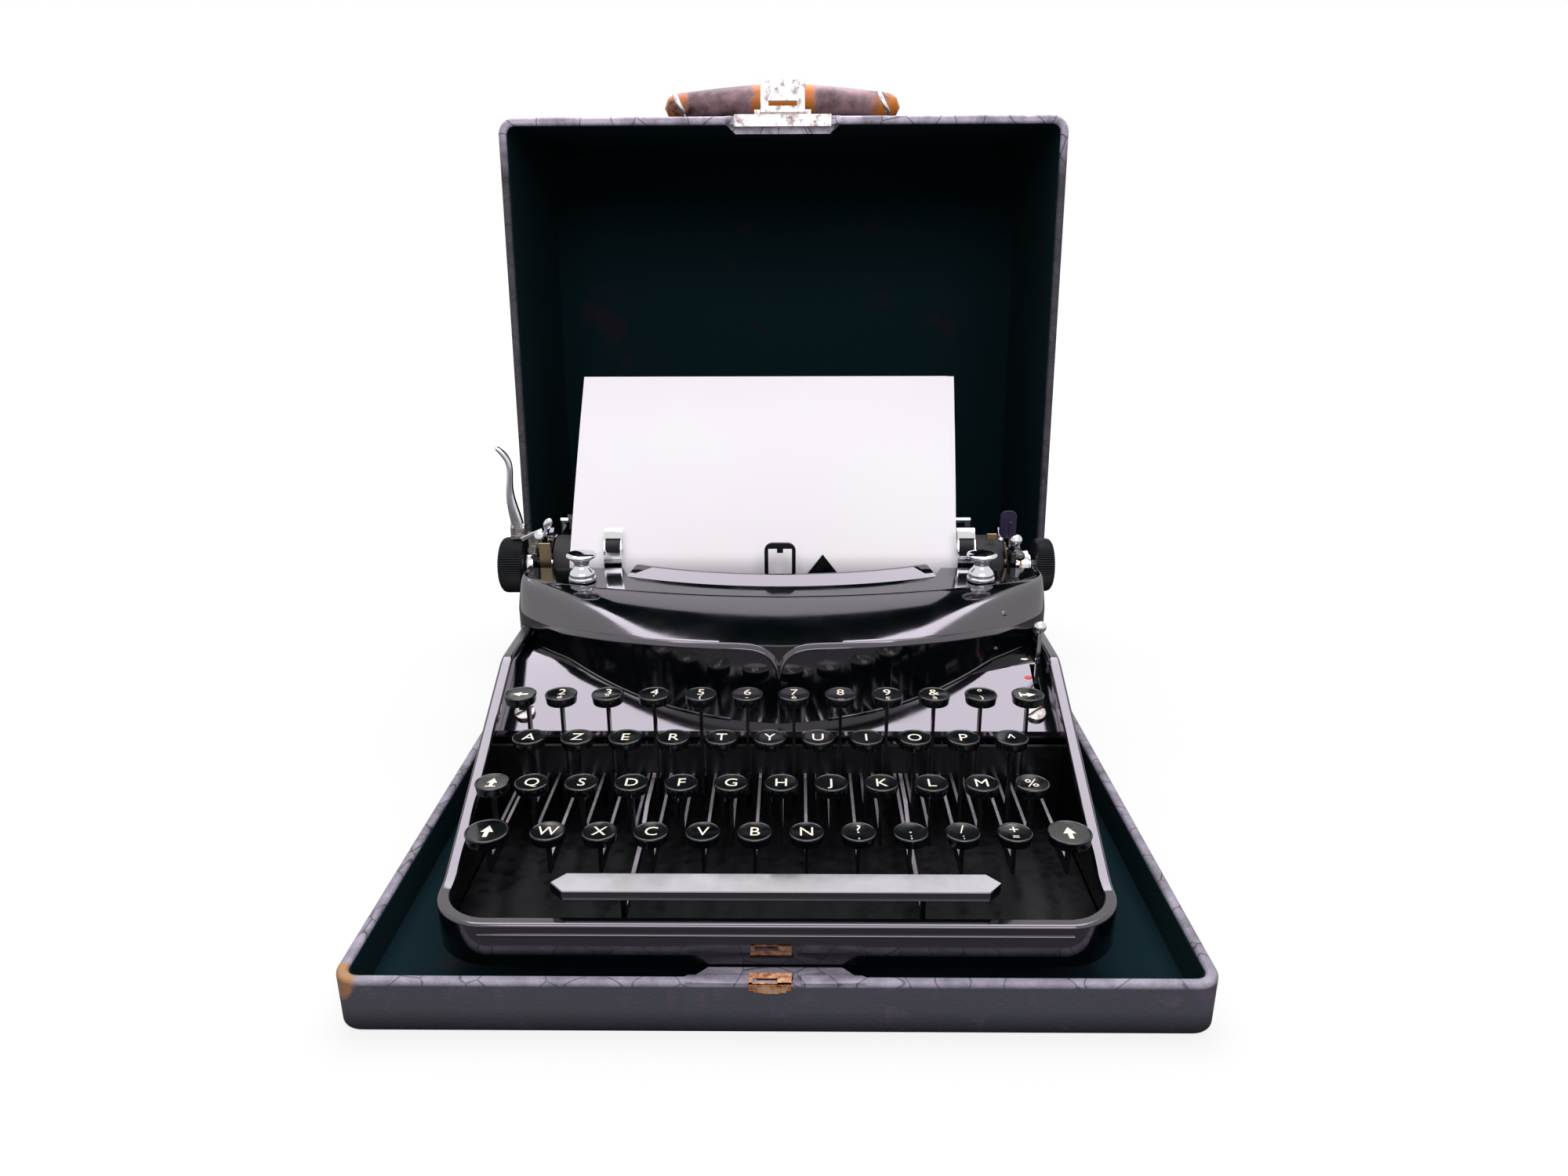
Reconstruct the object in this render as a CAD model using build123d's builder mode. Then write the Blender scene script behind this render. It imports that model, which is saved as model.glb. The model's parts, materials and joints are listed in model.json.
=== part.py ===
from build123d import *
import os
from math import radians, sin, cos, tan

# A portable typewriter standing in the tray of its carrying case, with the hinged lid open.
# Millimetres. The origin is the centre of the tray's underside, +X to the typist's right,
# +Y towards the lid and +Z up. The object is drawn as it stands: lid open, paper in the platen.

os.makedirs("parts", exist_ok=True)

# Carrying case
case_width = 302.0
case_depth = 292.0
case_height = 138.0
tray_height = 21.0
panel = 4.2
lining = 0.5
corner_radius = 9.0
lid_edge_radius = 8.5
open_angle = 94.4
hinge_back = 2.4
rim_gap = 0.2
knuckle_radius = 2.2
pin_radius = 1.1

# Keyboard
key_pitch = 19.05
key_radius = 6.6
key_height = 4.0
lever_thickness = 1.2
lever_low = 34.0
lever_high = 39.5
fulcrum_y = 59.0
fulcrum_z = 37.0
fulcrum_radius = 2.0
running_gap = 0.08

# Machine frame
frame_width = 242.0
frame_front = -136.0
frame_back = 119.0
frame_low = 19.5
apron_high = 36.5
rail_high = 84.0
rear_high = 66.0
frame_wall = 2.5
rim_width = 5.0
frame_corner = 21.0
rim_thickness = 4.0
pan_thickness = 2.0

# Cover over the type basket and the ribbon spools
cover_high = 100.0
cover_back = 62.0
shield_wall = 2.2
spool_x = 95.0
spool_y = 42.0

# Carriage
platen_y = 87.5
platen_z = 93.4
platen_radius = 15.5
carriage_left = -122.0
carriage_right = 114.0
end_plate = 2.5
paper_width = 196.0
paper_middle = -9.5
paper_top = (141.0, 183.0)

# Levels and lines that several pieces share
front = -case_depth / 2
hinge_y = case_depth / 2 + hinge_back
hinge_z = tray_height + rim_gap
tray_floor = panel + lining
lid_front = -hinge_back - case_depth
lid_middle = -hinge_back - case_depth / 2
lid_height = case_height - hinge_z - rim_gap
on_plane = (Align.CENTER, Align.CENTER, Align.MIN)
frame_middle = (frame_front + frame_back) / 2
frame_depth = frame_back - frame_front

# The lid is drawn in its own plane: x across, y towards the hinge and z towards its top panel
lid_plane = Plane(
    origin=(0, hinge_y, hinge_z),
    x_dir=(1, 0, 0),
    z_dir=(0, sin(radians(open_angle)), cos(radians(open_angle))),
)


def finish(builder, name):
    builder.part.label = name
    export_step(builder.part, f"parts/{name}.step")


# Tray of the case, a shallow box of thin board, with a recess for the lock keeper and a wooden
# block that stiffens the front wall behind it
keeper_width = 17.8
keeper_thickness = 0.8
keeper_depth = 5.5
keeper_leaf = 4.2
block_width = 56.0
block_depth = 5.0
block_height = 15.0
block_front = front + panel
with BuildPart() as case_tray:
    with BuildSketch():
        RectangleRounded(case_width, case_depth, corner_radius)
    extrude(amount=tray_height)
    fillet(case_tray.faces().sort_by(Axis.Z)[0].edges(), 2.0)
    with BuildSketch(Plane.XY.offset(panel)):
        RectangleRounded(case_width - 2 * panel, case_depth - 2 * panel, corner_radius - panel)
    extrude(amount=tray_height, mode=Mode.SUBTRACT)
    with BuildSketch(Plane.XY.offset(tray_height - keeper_thickness - block_height)):
        with BuildLine():
            Polyline(
                (-block_width / 2, block_front),
                (block_width / 2, block_front),
                (block_width / 2 - block_depth, block_front + block_depth),
                (block_depth - block_width / 2, block_front + block_depth),
                close=True,
            )
        make_face()
    extrude(amount=block_height)
    with Locations((0, front + keeper_depth / 2, tray_height - keeper_thickness / 2)):
        Box(keeper_width, keeper_depth, keeper_thickness, mode=Mode.SUBTRACT)
    with Locations((0, front + 3.9, tray_height)):
        Box(12.4, 2.8, 14, mode=Mode.SUBTRACT)
finish(case_tray, "case_tray")

# Felt and cloth lining of the tray: one thin pan, cut away round the block
with BuildPart() as tray_lining:
    with BuildSketch(Plane.XY.offset(panel)):
        RectangleRounded(case_width - 2 * panel, case_depth - 2 * panel, corner_radius - panel)
    extrude(amount=tray_height - panel - 1.0)
    with BuildSketch(Plane.XY.offset(tray_floor)):
        RectangleRounded(
            case_width - 2 * tray_floor, case_depth - 2 * tray_floor, corner_radius - tray_floor
        )
    extrude(amount=tray_height, mode=Mode.SUBTRACT)
    with Locations((0, block_front, tray_height - 8)):
        Box(block_width + 0.4, 2, block_height + 1, mode=Mode.SUBTRACT)
finish(tray_lining, "tray_lining")

# Brass keeper let into the tray's front rim, with the slot that the hasp's tongue enters
with BuildPart() as lock_keeper:
    with BuildSketch(Plane.YZ.offset(-keeper_width / 2)):
        with BuildLine():
            Polyline(
                (front - keeper_thickness, tray_height - keeper_leaf),
                (front, tray_height - keeper_leaf),
                (front, tray_height - keeper_thickness),
                (front + keeper_depth, tray_height - keeper_thickness),
                (front + keeper_depth, tray_height),
                (front - keeper_thickness, tray_height),
                close=True,
            )
        make_face()
    extrude(amount=keeper_width)
    with Locations((0, front + 3.9, tray_height)):
        Box(12, 2.6, 3, mode=Mode.SUBTRACT)
finish(lock_keeper, "lock_keeper")

# Lid of the case, a deep box with rounded top edges; its rim has a recess for the lock plate and a
# block behind it
lock_width = 51.4
lock_thickness = 0.8
lid_block_depth = 4.6
with BuildPart(lid_plane) as case_lid:
    with BuildSketch(lid_plane.offset(rim_gap)):
        with Locations((0, lid_middle)):
            RectangleRounded(case_width, case_depth, corner_radius)
    extrude(amount=lid_height)
    top_face = case_lid.faces().sort_by(Axis(lid_plane.origin, lid_plane.z_dir))[-1]
    fillet(top_face.edges(), lid_edge_radius)
    rim_face = case_lid.faces().sort_by(Axis(lid_plane.origin, lid_plane.z_dir))[0]
    offset(amount=-panel, openings=rim_face)
    with Locations((0, lid_front + 2.6, rim_gap + lock_thickness / 2)):
        Box(lock_width, 5.3, lock_thickness, mode=Mode.SUBTRACT)
    with BuildSketch(lid_plane.offset(rim_gap + lock_thickness)):
        with BuildLine():
            Polyline(
                (-30, lid_front + panel),
                (30, lid_front + panel),
                (25, lid_front + panel + lid_block_depth),
                (-25, lid_front + panel + lid_block_depth),
                close=True,
            )
        make_face()
    extrude(amount=16)
finish(case_lid, "case_lid")

# Lining of the lid, cut away round the block
with BuildPart(lid_plane) as lid_lining:
    with BuildSketch(lid_plane.offset(rim_gap + 1.5)):
        with Locations((0, lid_middle)):
            RectangleRounded(case_width - 2 * panel, case_depth - 2 * panel, corner_radius - panel)
    extrude(amount=lid_height - panel - 1.5)
    top_face = lid_lining.faces().sort_by(Axis(lid_plane.origin, lid_plane.z_dir))[-1]
    fillet(top_face.edges(), lid_edge_radius - panel)
    rim_face = lid_lining.faces().sort_by(Axis(lid_plane.origin, lid_plane.z_dir))[0]
    offset(amount=-lining, openings=rim_face)
    with Locations((0, lid_front + panel, 8.5)):
        Box(60.4, 2, 17.4, mode=Mode.SUBTRACT)
finish(lid_lining, "lid_lining")

# Two butt hinges on the back of the case: a leaf with its pin on the tray and a leaf on the lid
hinge_places = (-92, 92)
leaf_width = 40.0
leaf_thickness = 1.0
leaf_reach = 15.0
knuckle_width = leaf_width / 3
with BuildPart() as tray_hinge_leaves:
    for x in hinge_places:
        with Locations((x, case_depth / 2 + leaf_thickness / 2, hinge_z - 2.5 - leaf_reach / 2)):
            Box(leaf_width, leaf_thickness, leaf_reach)
        for side in (-1, 1):
            with BuildSketch(Plane.YZ.offset(x + side * knuckle_width - knuckle_width / 2 + 0.2)):
                with Locations((hinge_y, hinge_z)):
                    Circle(knuckle_radius)
                with Locations((case_depth / 2 + leaf_thickness, hinge_z - 2)):
                    Rectangle(2 * leaf_thickness, 3.0)
            extrude(amount=knuckle_width - 0.4)
        with BuildSketch(Plane.YZ.offset(x - leaf_width / 2)):
            with Locations((hinge_y, hinge_z)):
                Circle(pin_radius)
        extrude(amount=leaf_width)
finish(tray_hinge_leaves, "tray_hinge_leaves")

lid_side = Plane(lid_plane.origin, x_dir=lid_plane.y_dir, z_dir=(1, 0, 0))
with BuildPart(lid_plane) as lid_hinge_leaves:
    for x in hinge_places:
        with Locations((x, -hinge_back + leaf_thickness / 2, 2.5 + leaf_reach / 2)):
            Box(leaf_width, leaf_thickness, leaf_reach)
        with BuildSketch(lid_side.offset(x - knuckle_width / 2 + 0.2)):
            Circle(knuckle_radius)
            with Locations((-hinge_back + leaf_thickness, 2)):
                Rectangle(2 * leaf_thickness, 3.0)
            Circle(pin_radius + running_gap, mode=Mode.SUBTRACT)
        extrude(amount=knuckle_width - 0.4)
finish(lid_hinge_leaves, "lid_hinge_leaves")

# Lock plate folded round the lid's rim, and the hasp that swings down over the keeper
hasp_width = 23.5
hasp_length = 17.0
hasp_y = lid_front - 2.3
hasp_z = 3.2
barrel_radius = 1.4
with BuildPart(lid_plane) as lock_plate:
    with Locations((0, lid_front - lock_thickness / 2, rim_gap + 7)):
        Box(lock_width, lock_thickness, 14)
    with Locations((0, lid_front + 2.2, rim_gap + lock_thickness / 2)):
        Box(lock_width, 6.0, lock_thickness)
    for side in (-1, 1):
        with Locations((side * (hasp_width / 2 + 1.7), hasp_y + 0.3, hasp_z)):
            Box(3, 2.4, 3.2)
    with BuildSketch(lid_side.offset(-lock_width / 2)):
        with Locations((hasp_y, hasp_z)):
            Circle(0.7)
    extrude(amount=lock_width, mode=Mode.SUBTRACT)
finish(lock_plate, "lock_plate")

with BuildPart(lid_plane) as lock_hasp:
    with BuildSketch(lid_side.offset(-hasp_width / 2)):
        with Locations((hasp_y, hasp_z)):
            Circle(barrel_radius)
        with Locations((hasp_y - hasp_length / 2, hasp_z)):
            Rectangle(hasp_length, 1.2)
    extrude(amount=hasp_width)
    with Locations((0, hasp_y - 4.2, hasp_z)):
        Box(15, 2.4, 5, mode=Mode.SUBTRACT)
    with BuildSketch(lid_side.offset(-hasp_width / 2 - 3)):
        with Locations((hasp_y, hasp_z)):
            Circle(0.7 - running_gap)
    extrude(amount=hasp_width + 6)
finish(lock_hasp, "lock_hasp")

# Carrying handle: an arched leather grip on two wire loops that turn in brackets on the lid
handle_z = 47.0
handle_reach = 66.5
grip_end_rise = 13.0
grip_mid_rise = 19.0
grip_width = 15.0
grip_thickness = 13.0
wire_radius = 1.1
bracket_rise = 3.4
side_plane = Plane(
    origin=lid_plane.from_local_coords((0, lid_front, handle_z)), x_dir=(1, 0, 0), z_dir=lid_plane.z_dir
)
loops = []
for side in (-1, 1):
    with BuildPart() as loop:
        with BuildLine(side_plane) as loop_path:
            FilletPolyline(
                (side * 46, -bracket_rise),
                (side * 57, -bracket_rise),
                (side * 63, -grip_end_rise - 2),
                (side * 54, -grip_end_rise - 2),
                radius=1.5,
                close=True,
            )
        with BuildSketch(Plane(loop_path.wire() @ 0, z_dir=loop_path.wire() % 0)):
            Circle(wire_radius)
        sweep(path=loop_path.wire())
    loops.append(loop.part)

with BuildPart() as handle_loops:
    add(loops)
finish(handle_loops, "handle_loops")

with BuildPart() as handle_grip:
    with BuildLine(side_plane) as grip_path:
        ThreePointArc((-handle_reach, -grip_end_rise), (0, -grip_mid_rise), (handle_reach, -grip_end_rise))
    with BuildSketch(Plane(grip_path.wire() @ 0, x_dir=lid_plane.z_dir, z_dir=grip_path.wire() % 0)):
        Ellipse(grip_width / 2, grip_thickness / 2)
    sweep(path=grip_path.wire())
    add(loops, mode=Mode.SUBTRACT)
finish(handle_grip, "handle_grip")

with BuildPart() as handle_brackets:
    for side in (-1, 1):
        with BuildSketch(lid_side.offset(side * 52.2 - 2)):
            with Locations((lid_front - bracket_rise, handle_z)):
                Circle(3.0)
            with Locations((lid_front - bracket_rise / 2, handle_z)):
                Rectangle(bracket_rise, 6.0)
            with Locations((lid_front - 0.5, handle_z)):
                Rectangle(1.0, 14.0)
            with Locations((lid_front - bracket_rise, handle_z)):
                Circle(wire_radius + running_gap, mode=Mode.SUBTRACT)
        extrude(amount=4)
finish(handle_brackets, "handle_brackets")

# Machine frame: one casting with a low apron in front, rails that climb beside the keys and a
# rounded rim turned in along its top
with BuildPart() as frame_side:
    with BuildSketch(Plane.YZ.offset(-frame_width)):
        with BuildLine():
            Polyline(
                (frame_front - 5, frame_low),
                (frame_back + 5, frame_low),
                (frame_back + 5, rear_high),
                (cover_back + 1, rear_high),
                (cover_back + 1, rail_high),
                (-14, rail_high),
                (-112, apron_high),
                (frame_front - 5, apron_high),
                close=True,
            )
        make_face()
        fillet([v for v in vertices() if -113 < v.X < -13], 18)
    extrude(amount=2 * frame_width)



def frame_wall_plan(wall):
    """Plan of the frame's upright wall at the given wall thickness."""
    with BuildSketch(Plane.XY.offset(frame_low)) as plan:
        with Locations((0, frame_middle)):
            RectangleRounded(frame_width, frame_depth, frame_corner)
            RectangleRounded(
                frame_width - 2 * wall, frame_depth - 2 * wall, frame_corner - wall, mode=Mode.SUBTRACT
            )
    return plan.sketch


with BuildPart() as frame_rim:
    extrude(frame_wall_plan(rim_width), amount=rail_high)
    add(frame_side.part, mode=Mode.INTERSECT)
    add(frame_side.part.moved(Location((0, 0, -rim_thickness))), mode=Mode.SUBTRACT)

with BuildPart() as base_frame:
    extrude(frame_wall_plan(frame_wall), amount=rail_high)
    add(frame_side.part, mode=Mode.INTERSECT)
    add(frame_rim.part)
finish(base_frame, "base_frame")

# Bottom pan, screwed inside the frame's foot, and four rubber feet that stand on the tray's floor
inner_gap = 0.2
with BuildPart() as bottom_pan:
    with BuildSketch(Plane.XY.offset(frame_low)):
        with Locations((0, frame_middle)):
            RectangleRounded(
                frame_width - 2 * (frame_wall + inner_gap), frame_depth - 2 * (frame_wall + inner_gap), 18
            )
    extrude(amount=pan_thickness)
finish(bottom_pan, "bottom_pan")

with BuildPart() as rubber_feet:
    with BuildSketch(Plane.XY.offset(tray_floor)):
        with Locations((0, frame_middle)):
            with GridLocations(188, 200, 2, 2):
                Circle(9)
    extrude(amount=frame_low - tray_floor)
finish(rubber_feet, "rubber_feet")

# Foot of the cover in plan: a bow with straight ends. The same outline serves cover, deck and shield
bow_apex = -30.5
bow_end_x = 94.0
bow_end_y = 0.5
side_x = frame_width / 2 + 2.9
side_y = 29.5


def bow_outline(level, inset, back):
    """Closed outline of the bow: front arc, two slanted ends, two sides and a straight back."""
    with BuildSketch(Plane.XY.offset(level)) as outline:
        with BuildLine():
            ThreePointArc(
                (-bow_end_x, bow_end_y + inset), (0, bow_apex + inset), (bow_end_x, bow_end_y + inset)
            )
            Polyline(
                (bow_end_x, bow_end_y + inset),
                (side_x - inset, side_y + inset),
                (side_x - inset, back),
                (inset - side_x, back),
                (inset - side_x, side_y + inset),
                (-bow_end_x, bow_end_y + inset),
            )
        make_face()
    return outline.sketch


# Outline of the crescent cover plate in plan, also used for the shield's upper edge
plate_apex = 17.3
plate_end_x = 112.0
plate_end_y = 38.5
tip_x = 125.8


def plate_outline(level, inset, back):
    """Closed outline of the cover plate with as many edges as the bow, so that the two can be lofted."""
    with BuildSketch(Plane.XY.offset(level)) as outline:
        with BuildLine():
            ThreePointArc(
                (-plate_end_x, plate_end_y + inset),
                (0, plate_apex + inset),
                (plate_end_x, plate_end_y + inset),
            )
            Polyline(
                (plate_end_x, plate_end_y + inset),
                (tip_x - inset, plate_end_y + 9 + inset),
                (tip_x - inset, back),
                (inset - tip_x, back),
                (inset - tip_x, plate_end_y + 9 + inset),
                (-plate_end_x, plate_end_y + inset),
            )
        make_face()
    return outline.sketch


# Deck behind the keys: a sheet that climbs with the keyboard and then runs level under the spools
deck_front = -34.0
deck_fold = 1.5
deck_low = 58.5
deck_high = 76.0
deck_thickness = 1.6
screw_x = 109.5
screw_y = -25.5
deck_angle = 26.24
deck_slope = Plane(
    origin=(0, screw_y, deck_low + (screw_y - deck_front) * tan(radians(deck_angle))),
    x_dir=(1, 0, 0),
    z_dir=(0, -sin(radians(deck_angle)), cos(radians(deck_angle))),
)
deck_half = frame_width / 2 - frame_wall
with BuildPart() as deck_panel:
    with BuildSketch(Plane.YZ.offset(-deck_half)):
        with BuildLine():
            Polyline(
                (deck_front, deck_low - deck_thickness - 3),
                (deck_front + 1.5, deck_low - deck_thickness - 3),
                (deck_front + 1.5, deck_low - deck_thickness),
                (deck_fold, deck_high - deck_thickness),
                (cover_back, deck_high - deck_thickness),
                (cover_back, deck_high),
                (deck_fold, deck_high),
                (deck_front, deck_low),
                close=True,
            )
        make_face()
    extrude(amount=2 * deck_half)
    with BuildSketch(Plane.XY.offset(deck_low - 10)):
        with BuildLine():
            ThreePointArc((-74, -8), (0, bow_apex + shield_wall + 0.5), (74, -8))
            Polyline((74, -8), (74, cover_back + 1), (-74, cover_back + 1), (-74, -8))
        make_face()
    extrude(amount=40, mode=Mode.SUBTRACT)
    with Locations((112.6, -8, deck_high)):
        Box(2.6, 15, 30, mode=Mode.SUBTRACT)
    with BuildSketch(deck_slope.offset(2)):
        with Locations((-screw_x, 0), (screw_x, 0)):
            Circle(1.6)
    extrude(amount=-8, mode=Mode.SUBTRACT)
finish(deck_panel, "deck_panel")

# Two large slotted screws that hold the deck down, and the pin that the ribbon lever turns on
selector_x = 112.6
selector_y = -9.0
selector_pivot_z = 52.0
with BuildPart() as deck_fixings:
    with BuildSketch(deck_slope.offset(0.02)):
        with Locations((-screw_x, 0), (screw_x, 0)):
            Circle(4.4)
    extrude(amount=1.6)
    with BuildSketch(deck_slope.offset(-6)):
        with Locations((-screw_x, 0), (screw_x, 0)):
            Circle(1.2)
    extrude(amount=7)
    with BuildSketch(deck_slope.offset(0.8)):
        with Locations(Location((-screw_x, 0), 35), Location((screw_x, 0), 35)):
            Rectangle(10, 1.0)
    extrude(amount=1, mode=Mode.SUBTRACT)
    with BuildSketch(Plane.YZ.offset(selector_x - 2)):
        with Locations((selector_y, selector_pivot_z)):
            Circle(1.2)
    extrude(amount=deck_half - selector_x + 2)
finish(deck_fixings, "deck_fixings")

# Shield: the bowed housing in front of the type basket. Its wall stands on the deck, its crown
# leans back to the cover plate, and its ends hang outside the frame's rails
shield_break = 91.5
shield_low = 56.0
end_low = 70.0
with BuildPart() as deck_space:
    with BuildSketch(Plane.YZ.offset(-deck_half - 0.6)):
        with BuildLine():
            Polyline(
                (-60, 0),
                (cover_back + 5, 0),
                (cover_back + 5, deck_high + 0.1),
                (deck_fold, deck_high + 0.1),
                (deck_front, deck_low + 0.1),
                (-60, deck_low + 0.1 - (60 + deck_front) * tan(radians(deck_angle))),
                close=True,
            )
        make_face()
    extrude(amount=2 * (deck_half + 0.6))

with BuildPart() as shield_hollow:
    extrude(bow_outline(shield_low - 1, shield_wall, cover_back + 1), amount=shield_break - shield_low)
    loft(
        [
            bow_outline(shield_break - 1, shield_wall, cover_back + 1),
            plate_outline(cover_high - 1.9, shield_wall + 1.5, cover_back + 1),
        ]
    )
    extrude(plate_outline(cover_high - 1.9, shield_wall + 1.5, cover_back + 1), amount=1)
    extrude(plate_outline(cover_high - 1.2, shield_wall - 0.4, cover_back + 1), amount=5)

with BuildPart() as front_shield:
    extrude(bow_outline(shield_low, 0, cover_back), amount=shield_break - shield_low)
    loft([bow_outline(shield_break, 0, cover_back), plate_outline(cover_high + 0.6, 0, cover_back)])
    add(shield_hollow.part, mode=Mode.SUBTRACT)
    add(deck_space.part, mode=Mode.SUBTRACT)
    for side in (-1, 1):
        with Locations((side * 118.1, 10, 50)):
            Box(7.2, 140, rail_high - 49.6, align=on_plane, mode=Mode.SUBTRACT)
        with Locations((side * side_x, side_y + 16, 0)):
            Box(10, 60, end_low, align=on_plane, mode=Mode.SUBTRACT)
finish(front_shield, "front_shield")

# Crescent cover plate, lifted off to change the ribbon, with holes for the spool shafts, and the
# curved visor raised along its back edge
visor_width = 75.0
visor_apex = 33.5
visor_end = 48.5
visor_depth = 7.0
visor_rise = 4.0
with BuildPart() as ribbon_cover:
    extrude(plate_outline(cover_high - 1.2, shield_wall, cover_back), amount=1.2)
    with BuildSketch(Plane.XY.offset(cover_high - 2)):
        with BuildLine():
            ThreePointArc((-visor_width, visor_end + 3), (0, visor_apex + 5), (visor_width, visor_end + 3))
            Polyline(
                (visor_width, visor_end + 3),
                (visor_width + 4, cover_back + 1),
                (-visor_width - 4, cover_back + 1),
                (-visor_width, visor_end + 3),
            )
        make_face()
        with Locations((-spool_x, spool_y), (spool_x, spool_y)):
            Circle(3.3)
    extrude(amount=3, mode=Mode.SUBTRACT)
finish(ribbon_cover, "ribbon_cover")


def visor_band(inset, shift, level):
    """Plan of the visor strip at one level, shorter at each end and moved back as it rises."""
    half = visor_width - inset
    with BuildSketch(Plane.XY.offset(level)) as band:
        with BuildLine():
            ThreePointArc((-half, visor_end + shift), (0, visor_apex + shift), (half, visor_end + shift))
            Line((half, visor_end + shift), (half - 1, visor_end + shift + 1.6))
            ThreePointArc(
                (half - 1, visor_end + shift + 1.6),
                (0, visor_apex + shift + 1.6),
                (1 - half, visor_end + shift + 1.6),
            )
            Line((1 - half, visor_end + shift + 1.6), (-half, visor_end + shift))
        make_face()
    return band.sketch


with BuildPart() as visor_strip:
    loft([visor_band(0, 0, cover_high), visor_band(4, visor_depth - 1.6, cover_high + visor_rise)])
finish(visor_strip, "visor_strip")

# Ribbon spools under the cover, each with its shaft and the chrome knob on top
spool_low = 78.0
spool_high = 93.0
spool_flange = 18.5
spool_core = 14.5


def ribbon_spool(side):
    """Spool, shaft and knob, turned as one piece about the spool's axis."""
    centre = side * spool_x
    with BuildPart() as spool:
        with BuildSketch(Plane.XZ.offset(-spool_y)):
            with BuildLine():
                Polyline(
                    (centre, spool_low - 1),
                    (centre + 2.3, spool_low - 1),
                    (centre + 2.3, spool_low),
                    (centre + spool_flange, spool_low),
                    (centre + spool_flange, spool_low + 0.8),
                    (centre + spool_core, spool_low + 0.8),
                    (centre + spool_core, spool_high - 0.8),
                    (centre + spool_flange, spool_high - 0.8),
                    (centre + spool_flange, spool_high),
                    (centre + 2.3, spool_high),
                    (centre + 2.3, cover_high + 0.4),
                    (centre + 6.6, cover_high + 0.4),
                    (centre + 6.6, cover_high + 2.4),
                    (centre + 5.4, cover_high + 4.2),
                )
                ThreePointArc(
                    (centre + 5.4, cover_high + 4.2),
                    (centre + 3.4, cover_high + 7.6),
                    (centre + 6.4, cover_high + 11.4),
                )
                Polyline(
                    (centre + 6.4, cover_high + 11.4),
                    (centre + 7.2, cover_high + 12.4),
                    (centre + 6.8, cover_high + 13.6),
                    (centre, cover_high + 14.6),
                    (centre, spool_low - 1),
                )
            make_face()
        revolve(axis=Axis((centre, spool_y, 0), (0, 0, 1)))
    return spool


left_ribbon_spool = ribbon_spool(-1)
finish(left_ribbon_spool, "left_ribbon_spool")
right_ribbon_spool = ribbon_spool(1)
finish(right_ribbon_spool, "right_ribbon_spool")

# Inked ribbon: a thin band from spool to spool, past the type guide
ribbon_y = spool_y + spool_core + 0.7
ribbon_line_y = 63.0
with BuildPart() as ribbon_band:
    with BuildSketch(Plane.XY.offset(spool_low + 1.2)):
        with BuildLine() as ribbon_path:
            FilletPolyline(
                (-spool_x, ribbon_y),
                (-spool_x + 12, ribbon_y + 1.6),
                (-62, ribbon_line_y),
                (62, ribbon_line_y),
                (spool_x - 12, ribbon_y + 1.6),
                (spool_x, ribbon_y),
                radius=4,
            )
        trace(ribbon_path.line, line_width=0.3)
    extrude(amount=12.6)
finish(ribbon_band, "ribbon_band")

# Where each key's lever runs, counted from the key in the middle of its row
number_row = [6.24 + (n - 5) * key_pitch for n in range(10)]
top_row = [-3.285 + (n - 5) * key_pitch for n in range(11)]
home_row = [1.48 + (n - 5) * key_pitch for n in range(11)]
bottom_row = [11.0 + (n - 5) * key_pitch for n in range(10)]
row_y = {"number": -43.2, "top": -62.2, "home": -81.2, "bottom": -100.1}
row_z = {"number": 80.3, "top": 70.4, "home": 60.9, "bottom": 51.2}
backspace_x = -105.8
backspace_lever_x = -102.8
margin_release_x = 101.5
shift_lock_x = -108.9
left_shift_x = -106.6
right_shift_x = 107.2
space_arms = (-53.29, 51.5)


def keys(name, places, row, radius=key_radius, lever_shift=0.0):
    """One row of keys: flat levers on the common fulcrum, each with an upright stem and a round cap."""
    key_y, top_z = row_y[row], row_z[row]
    stem = 1.7
    with BuildPart() as group:
        for x in places:
            with BuildSketch(Plane.YZ.offset(x + lever_shift - lever_thickness / 2)):
                with BuildLine():
                    Polyline(
                        (key_y - stem, lever_low),
                        (fulcrum_y + 4, lever_low),
                        (fulcrum_y + 4, lever_high),
                        (key_y + stem, lever_high),
                        (key_y + stem, top_z - key_height - (3 if lever_shift else 0)),
                        (key_y - stem, top_z - key_height - (3 if lever_shift else 0)),
                        close=True,
                    )
                make_face()
                with Locations((fulcrum_y, fulcrum_z)):
                    Circle(fulcrum_radius + running_gap, mode=Mode.SUBTRACT)
            extrude(amount=lever_thickness)
            if lever_shift:
                with Locations((x + lever_shift / 2, key_y, top_z - key_height - 1.5)):
                    Box(abs(lever_shift) + lever_thickness, 2 * stem, 3)
            with BuildSketch(Plane.XY.offset(top_z - key_height)):
                with Locations((x, key_y)):
                    Circle(radius)
            extrude(amount=key_height)
        chamfer(group.faces().filter_by(Axis.Z).group_by(Axis.Z)[-1].edges(), 0.5)
    finish(group, name)


keys("number_keys", number_row, "number")
keys("top_row_keys", top_row, "top")
keys("home_row_keys", home_row, "home")
keys("bottom_row_keys", bottom_row, "bottom")
keys("backspace_key", [backspace_x], "number", lever_shift=backspace_lever_x - backspace_x)
keys("margin_release_key", [margin_release_x], "number")
keys("shift_lock_key", [shift_lock_x], "home")
keys("left_shift_key", [left_shift_x], "bottom", radius=8.2)
keys("right_shift_key", [right_shift_x], "bottom", radius=8.2)

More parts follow.
